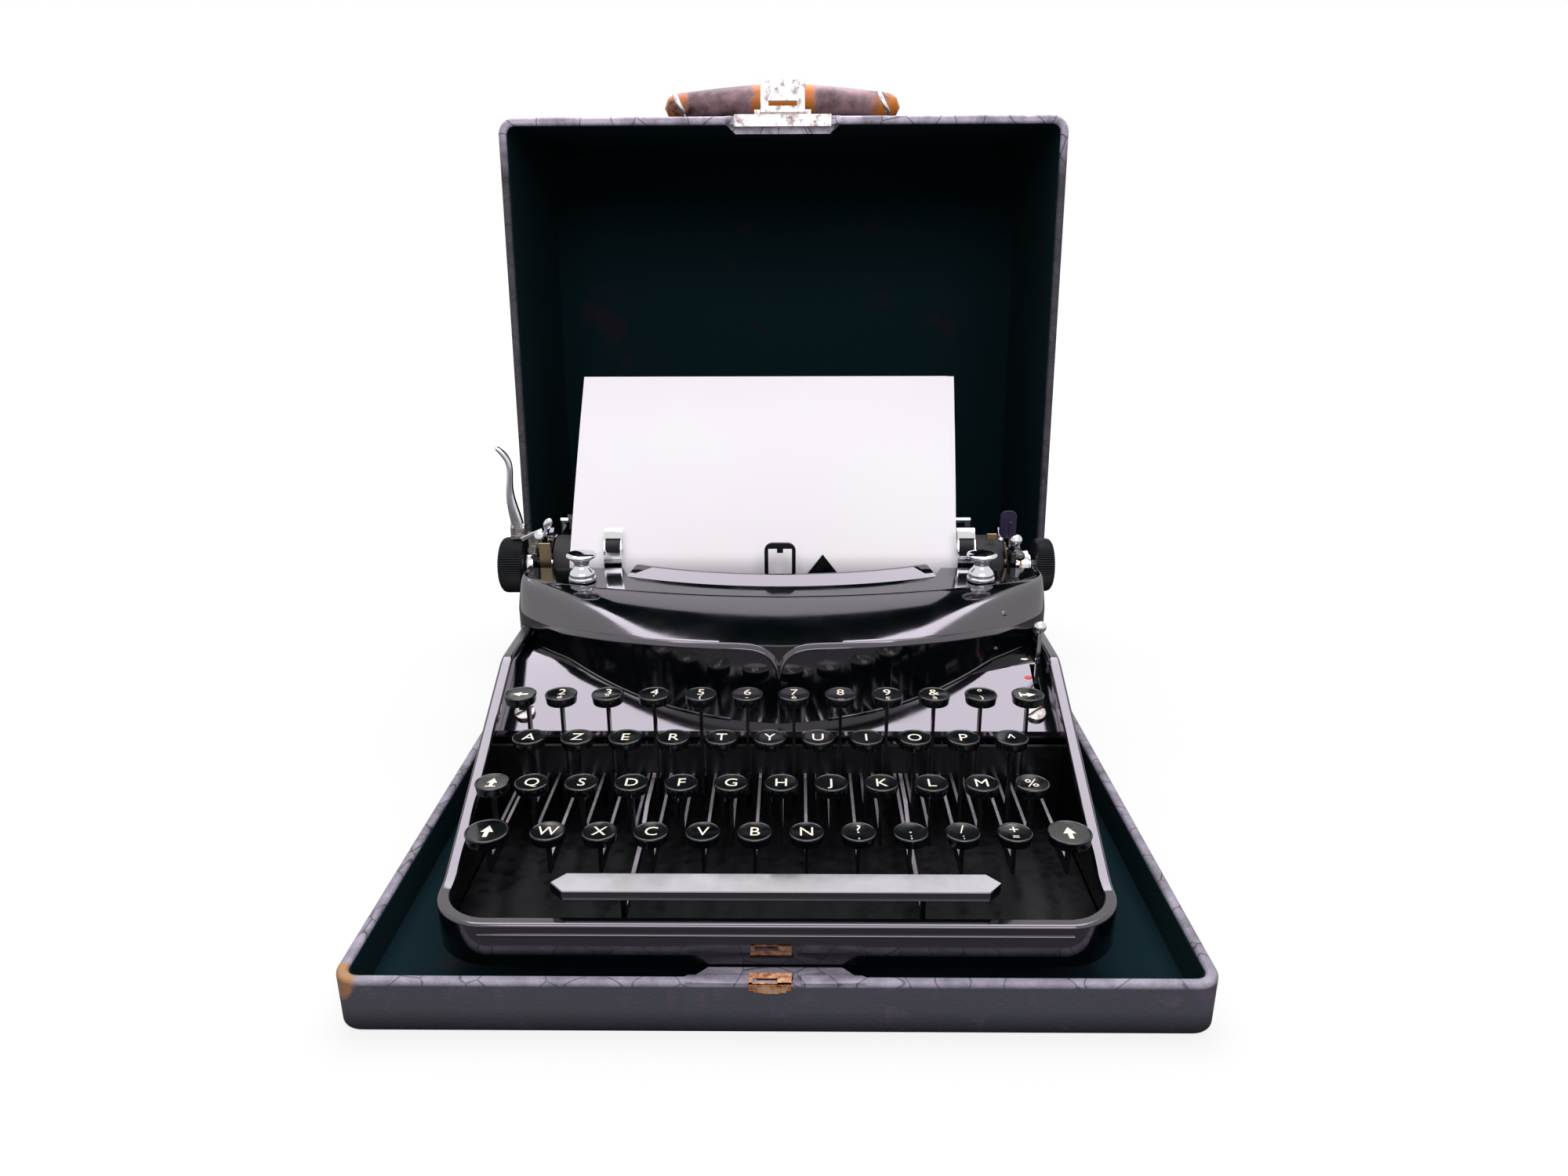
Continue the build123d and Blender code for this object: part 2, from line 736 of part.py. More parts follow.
# Space bar: a long bar with pointed ends on two arms that reach back to the fulcrum
bar_front = -128.0
bar_depth = 10.0
bar_half = 79.0
bar_low = 40.5
bar_high = 45.2
with BuildPart() as space_bar:
    with BuildSketch(Plane.XY.offset(bar_low)):
        with BuildLine():
            Polyline(
                (-bar_half + 5, bar_front),
                (bar_half - 5, bar_front),
                (bar_half, bar_front + bar_depth / 2),
                (bar_half - 5, bar_front + bar_depth),
                (-bar_half + 5, bar_front + bar_depth),
                (-bar_half, bar_front + bar_depth / 2),
                close=True,
            )
        make_face()
    extrude(amount=bar_high - bar_low)
    chamfer(space_bar.faces().sort_by(Axis.Z)[-1].edges(), 1.2)
    for x in space_arms:
        with BuildSketch(Plane.YZ.offset(x - 0.8)):
            with BuildLine():
                Polyline(
                    (bar_front + 3, 30.0),
                    (-80, 30.0),
                    (-60, lever_low),
                    (fulcrum_y + 4, lever_low),
                    (fulcrum_y + 4, lever_high),
                    (-60, lever_high),
                    (-80, 34.0),
                    (bar_front + 6.5, 34.0),
                    (bar_front + 6.5, bar_low),
                    (bar_front + 3, bar_low),
                    close=True,
                )
            make_face()
            with Locations((fulcrum_y, fulcrum_z)):
                Circle(fulcrum_radius + running_gap, mode=Mode.SUBTRACT)
        extrude(amount=1.6)
finish(space_bar, "space_bar")

# Common fulcrum rod for every lever, held in a lug at each end of the frame
inner_half = frame_width / 2 - frame_wall
with BuildPart() as lever_fulcrum:
    with BuildSketch(Plane.YZ.offset(-inner_half)):
        with Locations((fulcrum_y, fulcrum_z)):
            Circle(fulcrum_radius)
    extrude(amount=2 * inner_half)
    for side in (-1, 1):
        with Locations((side * (inner_half - 1.5), fulcrum_y, frame_low + pan_thickness)):
            Box(3, 8, fulcrum_z - frame_low - pan_thickness + 4, align=on_plane)
finish(lever_fulcrum, "lever_fulcrum")

# Comb in front of the deck: a plate with one window for each lever
comb_y = -38.0
comb_low = frame_low + pan_thickness
comb_high = 54.0
comb_half = inner_half
lever_places = (
    number_row + top_row + home_row + bottom_row
    + [backspace_lever_x, margin_release_x, shift_lock_x, left_shift_x, right_shift_x]
)
with BuildPart() as key_comb:
    with BuildSketch(Plane.XZ.offset(-comb_y - 1)):
        with Locations((0, (comb_low + comb_high) / 2)):
            Rectangle(2 * comb_half, comb_high - comb_low)
        for x in lever_places:
            with Locations((x, 32.5)):
                Rectangle(2.0, 17.4, mode=Mode.SUBTRACT)
        for x in space_arms:
            with Locations((x, 32.5)):
                Rectangle(6.6, 17.4, mode=Mode.SUBTRACT)
    extrude(amount=2)
finish(key_comb, "key_comb")

# Type segment: an arched plate on a cross-bar, and the type bars that lie forward from its rim
print_z = 100.0
segment_y = 52.0
segment_thickness = 6.0
bar_count = 42
bar_fan = 116.0
with BuildPart() as type_segment:
    with BuildSketch(Plane.XZ.offset(-segment_y - segment_thickness)):
        with Locations((0, print_z)):
            Circle(50)
            Circle(38, mode=Mode.SUBTRACT)
        with BuildLine():
            Polyline((-60, 78), (-60, 151), (60, 151), (60, 78), close=True)
        make_face(mode=Mode.SUBTRACT)
        with Locations((0, 49)):
            Rectangle(2 * inner_half - 0.4, 6)
    extrude(amount=segment_thickness)
finish(type_segment, "type_segment")

with BuildPart() as type_bars:
    for n in range(bar_count):
        fan = -bar_fan / 2 + n * bar_fan / (bar_count - 1)
        spoke = Plane(
            origin=(41.5 * sin(radians(fan)), segment_y - 0.4, print_z - 41.5 * cos(radians(fan))),
            x_dir=(cos(radians(fan)), 0, sin(radians(fan))),
            z_dir=(0, -1, 0),
        )
        with Locations(spoke):
            Box(0.9, 4.0, 36, align=on_plane)
        with Locations(spoke.offset(32)):
            Box(1.4, 7.0, 4, align=on_plane)
finish(type_bars, "type_bars")

# Type guide: a black fork with a square window in front of the platen, and the line pointer
guide_front = 58.0
guide_back = 61.6
with BuildPart() as type_guide:
    with BuildSketch(Plane.XZ.offset(-guide_back)):
        with Locations((-0.8, 55)):
            Rectangle(15.4, 58.2, align=(Align.CENTER, Align.MIN))
        fillet([v for v in vertices() if v.Y > 100], 4)
        with Locations((-0.8, 66)):
            Rectangle(11.6, 44.4, align=(Align.CENTER, Align.MIN), mode=Mode.SUBTRACT)
        with Locations((-0.8, 109.5)):
            Rectangle(3.0, 2.4)
    extrude(amount=1.8)
    with Locations((-0.8, guide_front, 55)):
        Box(15.4, guide_back - guide_front, 8, align=(Align.CENTER, Align.MIN, Align.MIN))
finish(type_guide, "type_guide")

with BuildPart() as line_pointer:
    with BuildSketch(Plane.XZ.offset(-guide_back)):
        with BuildLine():
            Polyline((12.0, 96.5), (28.4, 96.5), (20.2, 107.2), close=True)
        make_face()
        with Locations((20.2, 57)):
            Rectangle(5, 41, align=(Align.CENTER, Align.MIN))
    extrude(amount=1.4)
    with Locations((20.2, guide_front, 57)):
        Box(5, guide_back - guide_front, 6, align=(Align.CENTER, Align.MIN, Align.MIN))
finish(line_pointer, "line_pointer")

# Ribbon colour lever with a chrome ball, standing in a slot at the deck's right edge
with BuildPart() as ribbon_selector:
    with BuildSketch(Plane.YZ.offset(selector_x - 0.8)):
        with Locations((selector_y, (selector_pivot_z + 95) / 2)):
            Rectangle(1.8, 95 - selector_pivot_z)
        with Locations((selector_y, selector_pivot_z)):
            Circle(3.0)
            Circle(1.2 + running_gap, mode=Mode.SUBTRACT)
    extrude(amount=1.6)
    with Locations((selector_x, selector_y, 96)):
        Sphere(2.7)
finish(ribbon_selector, "ribbon_selector")

# Carriage rail across the back of the frame on two posts
rail_front = 92.0
rail_back = 112.0
rail_top = 66.0
with BuildPart() as carriage_rail:
    with Locations((0, (rail_front + rail_back) / 2, rail_top - 3)):
        Box(2 * 104, rail_back - rail_front, 6)
    for side in (-1, 1):
        with Locations((side * 100, (rail_front + rail_back) / 2, (comb_low + rail_top - 6) / 2)):
            Box(8, 14, rail_top - 6 - comb_low)
finish(carriage_rail, "carriage_rail")

# Roller truck between the rail and the carriage
truck_low = rail_top + 0.3
truck_high = 68.6
with BuildPart() as roller_truck:
    with Locations((0, (rail_front + rail_back) / 2, truck_low)):
        Box(60, 12, truck_high - truck_low, align=on_plane)
finish(roller_truck, "roller_truck")

# Carriage frame: a bed plate between two end plates with holes for the platen's shaft
bed_low = truck_high + 0.3
bed_high = bed_low + 2.6
carriage_front = 66.0
carriage_back = 116.0
carriage_span = carriage_right - carriage_left
carriage_middle = (carriage_left + carriage_right) / 2
with BuildPart() as carriage_frame:
    with Locations((carriage_middle, (carriage_front + carriage_back) / 2, bed_low)):
        Box(carriage_span, carriage_back - carriage_front, bed_high - bed_low, align=on_plane)
    for x in (carriage_left - end_plate, carriage_right):
        with BuildSketch(Plane.YZ.offset(x)):
            with BuildLine():
                Polyline(
                    (carriage_front, bed_low),
                    (carriage_back, bed_low),
                    (carriage_back, 106),
                    (carriage_back - 9, 108),
                    (platen_y + 9, 100.4),
                    (platen_y - 9, 100.4),
                    (carriage_front + 8, 107),
                    (carriage_front, 106),
                    close=True,
                )
            make_face()
            with Locations((platen_y, platen_z)):
                Circle(3.0 + running_gap, mode=Mode.SUBTRACT)
        extrude(amount=end_plate)
finish(carriage_frame, "carriage_frame")

# Platen: the rubber-covered roller, its steel shaft with the line ratchet, and two ribbed knobs
left_knob_out = -145.6
left_knob_in = -132.6
right_knob_in = 129.6
right_knob_out = 138.9
platen_left = -116.4
platen_right = 112.0
ratchet_teeth = 24
with BuildPart() as platen_roller:
    with BuildSketch(Plane.YZ.offset(platen_left)):
        with Locations((platen_y, platen_z)):
            Circle(platen_radius)
            Circle(3.0, mode=Mode.SUBTRACT)
    extrude(amount=platen_right - platen_left)
finish(platen_roller, "platen_roller")

with BuildPart() as platen_shaft:
    with BuildSketch(Plane.YZ.offset(left_knob_in)):
        with Locations((platen_y, platen_z)):
            Circle(3.0)
    extrude(amount=right_knob_in - left_knob_in)
    with BuildSketch(Plane.YZ.offset(carriage_right + end_plate + 3)):
        with Locations((platen_y, platen_z)):
            Circle(6.0)
    extrude(amount=8)
    with BuildSketch(Plane.YZ.offset(carriage_left - end_plate - 2.2)):
        with Locations((platen_y, platen_z)):
            Circle(5.6)
            with PolarLocations(5.6, ratchet_teeth):
                Rectangle(1.4, 0.8)
    extrude(amount=1.8)
finish(platen_shaft, "platen_shaft")

with BuildPart() as platen_knobs:
    for x, width, radius in (
        (left_knob_out, left_knob_in - left_knob_out, 14.4),
        (right_knob_in, right_knob_out - right_knob_in, 13.7),
    ):
        with BuildSketch(Plane.YZ.offset(x)):
            with Locations((platen_y, platen_z)):
                Circle(radius)
        extrude(amount=width)
    chamfer(platen_knobs.edges().filter_by(GeomType.CIRCLE), 1.5)
finish(platen_knobs, "platen_knobs")

# Paper table behind the platen, and the chrome margin rail on two posts with its stops
rail_rod_y = 111.0
rail_rod_z = 111.0
table_radius = platen_radius + 2.0
table_end_y = platen_y + table_radius * cos(radians(20))
table_end_z = platen_z + table_radius * sin(radians(20))
with BuildPart() as paper_table:
    with BuildSketch(Plane.YZ.offset(-100)):
        with BuildLine() as table_path:
            CenterArc((platen_y, platen_z), table_radius, -80, 100)
            Line((table_end_y, table_end_z), (121.5, 117.5))
        trace(table_path.line, line_width=1.0)
    extrude(amount=182)
finish(paper_table, "paper_table")

with BuildPart() as margin_rail:
    with BuildSketch(Plane.YZ.offset(-119)):
        with Locations((rail_rod_y, rail_rod_z)):
            Circle(1.5)
    extrude(amount=219)
    for x in (-117.5, 98.5):
        with Locations((x, rail_rod_y, bed_high)):
            Box(3, 3, rail_rod_z - bed_high, align=on_plane)
    for x in (-112, 88):
        with Locations((x, rail_rod_y, rail_rod_z)):
            Box(5, 7, 8)
finish(margin_rail, "margin_rail")

# Sheet of paper: round the front of the platen and up to the back
paper_radius = platen_radius + 0.6
paper_leaves = 140.3
paper_leaves_y = platen_y + paper_radius * cos(radians(paper_leaves))
paper_leaves_z = platen_z + paper_radius * sin(radians(paper_leaves))
with BuildPart() as paper_sheet:
    with BuildSketch(Plane.YZ.offset(paper_middle - paper_width / 2)):
        with BuildLine() as paper_path:
            CenterArc((platen_y, platen_z), paper_radius, paper_leaves, 62)
            Line((paper_leaves_y, paper_leaves_z), paper_top)
        trace(paper_path.line, line_width=0.4)
    extrude(amount=paper_width)
finish(paper_sheet, "paper_sheet")

# Paper fingers: two chrome strips on a rod in front of the platen, each with a small roller
bail_y = 67.6
bail_z = 82.0
finger_places = (-84.5, 92.0)
finger_half = 4.4
roller_y = 73.2
roller_z = 107.7
with BuildPart() as paper_fingers:
    with BuildSketch(Plane.YZ.offset(carriage_left + 0.3)):
        with Locations((bail_y, bail_z)):
            Circle(1.4)
    extrude(amount=carriage_span - 0.6)
    for x in finger_places:
        with BuildSketch(Plane.YZ.offset(x - finger_half)):
            with BuildLine() as finger_path:
                Line((bail_y, bail_z), (66.6, 100))
                TangentArc((66.6, 100), (74.5, 116.6), tangent=(-0.04, 1))
            trace(finger_path.line, line_width=1.1)
        extrude(amount=2 * finger_half)
        for ear in (x - finger_half, x + finger_half - 1.1):
            with BuildSketch(Plane.YZ.offset(ear)):
                with Locations((roller_y, roller_z)):
                    Circle(1.6)
                with Locations((roller_y - 2.4, roller_z - 0.2)):
                    Rectangle(4.8, 2.6)
            extrude(amount=1.1)
finish(paper_fingers, "paper_fingers")

with BuildPart() as finger_rollers:
    for x in finger_places:
        with BuildSketch(Plane.YZ.offset(x - finger_half + 1.1)):
            with Locations((roller_y, roller_z)):
                Circle(3.1)
        extrude(amount=2 * finger_half - 2.2)
finish(finger_rollers, "finger_rollers")

# Return lever: a base that rocks on the carriage's left end, and the tall curved lever on it
base_pivot_x = -127.6
base_pivot_z = 103.5
fold_z = 113.5
lever_x = -135.6
bracket_front = platen_y - 7.7
with BuildPart() as lever_base:
    with BuildSketch(Plane.XZ.offset(-(platen_y + 2.7))):
        with BuildLine():
            Polyline(
                (base_pivot_x - 2.6, base_pivot_z - 2.2),
                (base_pivot_x + 2.6, base_pivot_z - 2.2),
                (base_pivot_x + 2.6, 110.6),
                (lever_x - 3.6, 110.6),
                (lever_x - 3.6, 108.6),
                (base_pivot_x - 2.6, 108.6),
                close=True,
            )
        make_face()
        with Locations((base_pivot_x, base_pivot_z)):
            Circle(1.2 + running_gap, mode=Mode.SUBTRACT)
    extrude(amount=7.6)
    for x in (lever_x - 3.6, lever_x + 1.9):
        with BuildSketch(Plane.YZ.offset(x)):
            with Locations((platen_y - 1.1, fold_z)):
                Circle(2.8)
            with Locations((platen_y - 1.1, (110 + fold_z) / 2)):
                Rectangle(5.6, fold_z - 110)
        extrude(amount=1.7)
    with BuildSketch(Plane.YZ.offset(lever_x - 3.6)):
        with Locations((platen_y - 1.1, fold_z)):
            Circle(1.1)
    extrude(amount=7.2)
finish(lever_base, "lever_base")

with BuildPart() as return_lever:
    with BuildLine(Plane.XZ.offset(-(platen_y - 1.1))) as lever_path:
        Spline(
            (lever_x, fold_z + 1.5),
            (lever_x - 0.9, 119.8),
            (lever_x - 1.7, 127.4),
            (lever_x - 0.6, 138.0),
            (lever_x - 0.9, 146.2),
            (lever_x - 5.9, 153.6),
        )
    with BuildSketch(Plane(lever_path.wire() @ 0, x_dir=(0, 1, 0), z_dir=lever_path.wire() % 0)):
        Ellipse(2.5, 1.2)
    sweep(path=lever_path.wire())
    with BuildSketch(Plane.YZ.offset(lever_x - 1.6)):
        with Locations((platen_y - 1.1, fold_z)):
            Circle(2.6)
    extrude(amount=3.2)
    with BuildSketch(Plane.YZ.offset(lever_x - 4)):
        with Locations((platen_y - 1.1, fold_z)):
            Circle(1.1 + running_gap)
    extrude(amount=8, mode=Mode.SUBTRACT)
finish(return_lever, "return_lever")


# Carriage release levers, one at each end, and the paper release lever on the right
def release_lever(x, rise, ball, lean):
    with BuildPart() as lever:
        with BuildSketch(Plane.XZ.offset(-73.0)):
            with BuildLine():
                Polyline(
                    (x - 1.6, 103),
                    (x + 1.6, 103),
                    (x + 1.2 + lean, rise),
                    (x - 1.2 + lean, rise),
                    close=True,
                )
            make_face()
            with Locations((x, 103)):
                Circle(2.6)
                Circle(1.2 + running_gap, mode=Mode.SUBTRACT)
        extrude(amount=1.6)
        with Locations((x + lean, 72.2, rise + 1)):
            Sphere(ball)
    return lever


left_release_x = -118.6
right_release_x = 119.4
left_release_lever = release_lever(left_release_x, 114.0, 3.0, 3.4)
finish(left_release_lever, "left_release_lever")
right_release_lever = release_lever(right_release_x, 110.0, 3.2, -2.5)
finish(right_release_lever, "right_release_lever")

paper_release_x = 118.6
paper_release_y = 100.0
paper_release_z = 98.0
with BuildPart() as paper_release_lever:
    with BuildSketch(Plane.YZ.offset(paper_release_x)):
        with Locations((paper_release_y, 105.5)):
            Rectangle(3.0, 15)
        with Locations((paper_release_y, paper_release_z)):
            Circle(3.2)
            Circle(1.4 + running_gap, mode=Mode.SUBTRACT)
    extrude(amount=1.6)
    with BuildSketch(Plane.XZ.offset(-paper_release_y - 1)):
        with Locations((paper_release_x - 0.5, 111.5)):
            RectangleRounded(8.6, 15, 3.4)
    extrude(amount=2)
finish(paper_release_lever, "paper_release_lever")

# Pins and ears on the carriage's end plates that the levers turn on
with BuildPart() as carriage_pins:
    for x, ear in ((left_release_x, carriage_left), (right_release_x, carriage_right + end_plate)):
        with BuildSketch(Plane.XZ.offset(-76.0)):
            with Locations((x, 103)):
                Circle(1.2)
        extrude(amount=5.4)
        with Locations(((x + ear) / 2, 74.9, 103)):
            Box(abs(x - ear), 2.2, 3.0)
    with BuildSketch(Plane.YZ.offset(carriage_right + end_plate)):
        with Locations((paper_release_y, paper_release_z)):
            Circle(1.4)
    extrude(amount=paper_release_x + 2.0 - carriage_right - end_plate)
    with BuildSketch(Plane.XZ.offset(-bracket_front - 2.4)):
        with Locations((base_pivot_x, base_pivot_z)):
            Circle(2.6)
        with Locations(((base_pivot_x + carriage_left - end_plate) / 2, base_pivot_z - 2.5)):
            Rectangle(carriage_left - end_plate - base_pivot_x, 6)
    extrude(amount=2.4)
    with BuildSketch(Plane.XZ.offset(-(platen_y + 3))):
        with Locations((base_pivot_x, base_pivot_z)):
            Circle(1.2)
    extrude(amount=9)
finish(carriage_pins, "carriage_pins")

# Works under the carriage: mainspring drum and escapement wheel on posts on the bottom pan
drum_x = -70.0
drum_y = 90.0
works_high = 56.0
with BuildPart() as spring_drum:
    with BuildSketch(Plane.XY.offset(44)):
        with Locations((drum_x, drum_y)):
            Circle(18)
            Circle(2.5 + running_gap, mode=Mode.SUBTRACT)
    extrude(amount=works_high - 44)
finish(spring_drum, "spring_drum")

wheel_x = 0.0
with BuildPart() as escapement_wheel:
    with BuildSketch(Plane.XY.offset(46)):
        with Locations((wheel_x, drum_y)):
            Circle(12.5)
            with PolarLocations(12.5, 30):
                Rectangle(2.4, 1.1)
            Circle(2.5 + running_gap, mode=Mode.SUBTRACT)
    extrude(amount=2)
finish(escapement_wheel, "escapement_wheel")

with BuildPart() as works_posts:
    with BuildSketch(Plane.XY.offset(comb_low)):
        with Locations((drum_x, drum_y), (wheel_x, drum_y)):
            Circle(2.5)
    extrude(amount=works_high - comb_low + 2)
finish(works_posts, "works_posts")
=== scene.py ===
import bpy
import bmesh
import json
from math import radians, sin, cos, pi, sqrt, tan
from mathutils import Matrix, Vector


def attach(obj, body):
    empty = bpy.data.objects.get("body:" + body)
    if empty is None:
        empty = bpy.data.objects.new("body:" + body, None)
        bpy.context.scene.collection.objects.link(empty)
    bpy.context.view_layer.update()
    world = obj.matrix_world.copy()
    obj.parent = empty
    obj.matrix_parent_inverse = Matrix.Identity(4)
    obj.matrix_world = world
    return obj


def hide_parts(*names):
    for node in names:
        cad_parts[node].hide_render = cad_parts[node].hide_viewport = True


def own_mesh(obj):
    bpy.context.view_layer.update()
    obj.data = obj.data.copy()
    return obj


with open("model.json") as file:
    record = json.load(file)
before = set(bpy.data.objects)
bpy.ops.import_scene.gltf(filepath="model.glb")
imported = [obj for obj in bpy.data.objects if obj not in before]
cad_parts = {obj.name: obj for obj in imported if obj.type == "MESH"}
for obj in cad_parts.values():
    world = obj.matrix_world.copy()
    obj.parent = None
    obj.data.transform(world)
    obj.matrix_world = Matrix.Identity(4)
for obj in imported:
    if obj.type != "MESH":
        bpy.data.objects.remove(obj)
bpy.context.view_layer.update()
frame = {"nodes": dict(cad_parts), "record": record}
scene = bpy.context.scene
scene.view_settings.view_transform = "Standard"

# Tray of the carrying case: a shallow box of thin board covered outside in grained leatherette, a
# coated black cloth glued on and turned in over the rim. Its front left corner is rubbed to the board.


def shade(code):
    """A colour written as sRGB hex, in linear light."""
    parts = [int(code[place:place + 2], 16) / 255 for place in (1, 3, 5)]
    return [part / 12.92 if part < 0.04045 else ((part + 0.055) / 1.055) ** 2.4 for part in parts] + [1.0]


def node(tree, kind, inputs, to=None, **settings):
    """Adds a shader node with its settings. An input is a value, a hex colour, a node or a socket."""
    made = tree.nodes.new("ShaderNode" + kind)
    for name, value in settings.items():
        setattr(made, name, value)
    for name, value in inputs.items():
        socket = made.inputs[name]
        if isinstance(value, str):
            value = shade(value)
        if isinstance(value, bpy.types.Node):
            value = next(out for out in value.outputs if out.enabled)
        if isinstance(value, bpy.types.NodeSocket):
            tree.links.new(value, socket)
        else:
            socket.default_value = value
    if to:
        tree.links.new(next(out for out in made.outputs if out.enabled), to)
    return made


def finish(name, colour, **sockets):
    """A new material with its plain colour and constants on the shader's own sockets."""
    made = bpy.data.materials.new(name)
    made.use_nodes = True
    shader = made.node_tree.nodes["Principled BSDF"]
    shader.inputs["Base Color"].default_value = shade(colour)
    for socket, value in sockets.items():
        shader.inputs[socket.replace("_", " ")].default_value = value
    place = node(made.node_tree, "TexCoord", {}).outputs["Object"]
    return made, made.node_tree, shader.inputs, place


# Which body each CAD piece has in the imported record
behaviour = frame["record"]["behaviour"]
carrier = {name: body for body, names in behaviour["bodies"].items() for name in names}


def eased(shape, edges, ease, segments=2, clamp=True):
    """Rounds some of the edges of a shape."""
    bmesh.ops.bevel(shape, geom=edges, offset=ease, offset_type="OFFSET", segments=segments, profile=0.5,
                    affect="EDGES", clamp_overlap=clamp, material=-1)


def copied(*names, ease=0.3, segments=2):
    """CAD pieces in millimetres as one merged mesh with their sharp edges rounded a little."""
    shape = bmesh.new()
    for name in names:
        shape.from_mesh(frame["nodes"][name].data)
    bmesh.ops.scale(shape, vec=(1000, 1000, 1000), verts=shape.verts)
    bmesh.ops.remove_doubles(shape, verts=shape.verts, dist=0.002)
    bmesh.ops.dissolve_limit(shape, angle_limit=radians(0.6), verts=shape.verts, edges=shape.edges)
    edges = [edge for edge in shape.edges if edge.is_manifold and edge.calc_face_angle() > radians(32)]
    if ease and edges:
        eased(shape, edges, ease, segments)
    return shape


def piece(name, shape, material, *nodes, beside=None, slot=None, smooth=50):
    """Makes the object of a mesh drawn in millimetres, on the body of its CAD nodes or of the one beside it."""
    bmesh.ops.scale(shape, vec=(0.001, 0.001, 0.001), verts=shape.verts)
    mesh = bpy.data.meshes.new(name)
    shape.to_mesh(mesh)
    shape.free()
    mesh.shade_smooth()
    mesh.set_sharp_from_angle(angle=radians(smooth))
    mesh.materials.append(material)
    made = bpy.data.objects.new(name, mesh)
    scene.collection.objects.link(made)
    even = made.modifiers.new("even_normals", "WEIGHTED_NORMAL")
    even.keep_sharp = True
    like = nodes[0] if nodes else beside
    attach(made, carrier[like])
    if nodes:
        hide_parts(*nodes)
    return made


# The lid stands open, leaning back: the line of its hinge pins, and the way up from its rim
lid_lean = radians(4.4)
hinge_line = Vector((0, 148.4, 21.2))
lid_rise = Vector((0, cos(lid_lean), -sin(lid_lean)))

# Coated cloth, embossed: a soft sheen broken by a pebbled grain about 1 mm across. Its front wall is
# painted lighter above a darker foot, as painted light and shade; along the rims it is cracked, rubbed and
# painted lavender grey, partly wear and partly a painted highlight; and it is tan where the board shows.
leatherette, tree, shader, place = finish("leatherette_embossed_black", "#12141a", Roughness=0.5,
                                          Specular_IOR_Level=0.35)
grain = node(tree, "TexVoronoi", {"Vector": place, "Scale": 950.0, "Smoothness": 0.6}, feature="SMOOTH_F1")
scuffs = node(tree, "TexNoise", {"Vector": place, "Scale": 90.0, "Detail": 6.0, "Roughness": 0.65})
drift = node(tree, "TexNoise", {"Vector": place, "Scale": 14.0, "Detail": 3.0})
rubbed = node(tree, "MapRange", {"Value": scuffs, "From Min": 0.56, "From Max": 0.74})
spot = node(tree, "SeparateXYZ", {"Vector": place})
# Painted light and shade: the front wall is painted lighter above its bottom strip and darker at its foot
lit_above_foot = node(tree, "MapRange", {"Value": spot.outputs["Z"], "From Min": 0.002, "From Max": 0.01})
front_wall = node(tree, "MapRange", {"Value": spot.outputs["Y"], "From Min": -0.12, "From Max": -0.14})
front_wall_painted_light = node(tree, "Math", {0: lit_above_foot, 1: front_wall}, operation="MULTIPLY")
cloth_black = node(tree, "Mix", {0: front_wall_painted_light, 6: "#202228", 7: "#52535c"}, data_type="RGBA")
bruised = node(tree, "Mix", {0: front_wall_painted_light, 6: "#302d38", 7: "#6c5c6e"}, data_type="RGBA")
grey = node(tree, "Mix", {0: rubbed, 6: cloth_black, 7: bruised}, data_type="RGBA")
from_rim = node(tree, "VectorMath", {0: place, 1: -hinge_line / 1000}, operation="ADD")
above_rim = node(tree, "VectorMath", {0: from_rim, 1: lid_rise}, operation="DOT_PRODUCT")
# Rims painted lavender grey: partly rubbed wear, partly a painted highlight where the rims face the light
lid_rim = node(tree, "MapRange", {"Value": above_rim.outputs["Value"], "From Min": 0.0022,
                                  "From Max": 0.0013})
lid_top = node(tree, "MapRange", {"Value": spot.outputs["Z"], "From Min": 0.285, "From Max": 0.308,
                                  "To Min": 0.08})
lid_rim_wear_and_highlight = node(tree, "Math", {0: lid_rim, 1: lid_top}, operation="MULTIPLY")
tray_rim_wear_and_highlight = node(tree, "MapRange", {"Value": spot.outputs["Z"], "From Min": 0.0191, "From Max": 0.0198,
                                    "To Max": 0.45})
on_case_lid = node(tree, "Math", {0: above_rim.outputs["Value"], 1: -0.0002}, operation="GREATER_THAN")
rim_wear_and_highlight = node(tree, "Mix", {0: on_case_lid, 2: tray_rim_wear_and_highlight, 3: lid_rim_wear_and_highlight})
thin = node(tree, "MapRange", {"Value": scuffs, "From Min": 0.36, "From Max": 0.62, "To Min": 0.4})
splits = node(tree, "TexVoronoi", {"Vector": place, "Scale": 55.0}, feature="DISTANCE_TO_EDGE")
whole = node(tree, "MapRange", {"Value": splits.outputs["Distance"], "From Min": 0.004, "From Max": 0.02,
                                "To Min": 0.15})
unsplit = node(tree, "Math", {0: thin, 1: whole}, operation="MULTIPLY")
rim_grey = node(tree, "Math", {0: rim_wear_and_highlight, 1: unsplit}, operation="MULTIPLY")
# Painted highlight and wear: the rims turn pale lavender grey
rims = node(tree, "Mix", {0: rim_grey, 6: grey, 7: "#e2daea"}, data_type="RGBA")
corner = node(tree, "VectorMath", {0: place, 1: (-0.1495, -0.1445, 0.021)}, operation="DISTANCE")
near = node(tree, "MapRange", {"Value": corner.outputs["Value"], "From Min": 0.016, "From Max": 0.004})
bare = node(tree, "Math", {0: near, 1: scuffs}, operation="ADD")
board = node(tree, "MapRange", {"Value": bare, "From Min": 1.12, "From Max": 1.3})
node(tree, "Mix", {0: board, 6: rims, 7: "#a8825a"}, to=shader["Base Color"], data_type="RGBA")
node(tree, "MapRange", {"Value": drift, "From Min": 0.3, "From Max": 0.7, "To Min": 0.45, "To Max": 0.6},
     to=shader["Roughness"])
node(tree, "Bump", {"Height": grain, "Strength": 0.35, "Distance": 0.0004}, to=shader["Normal"])


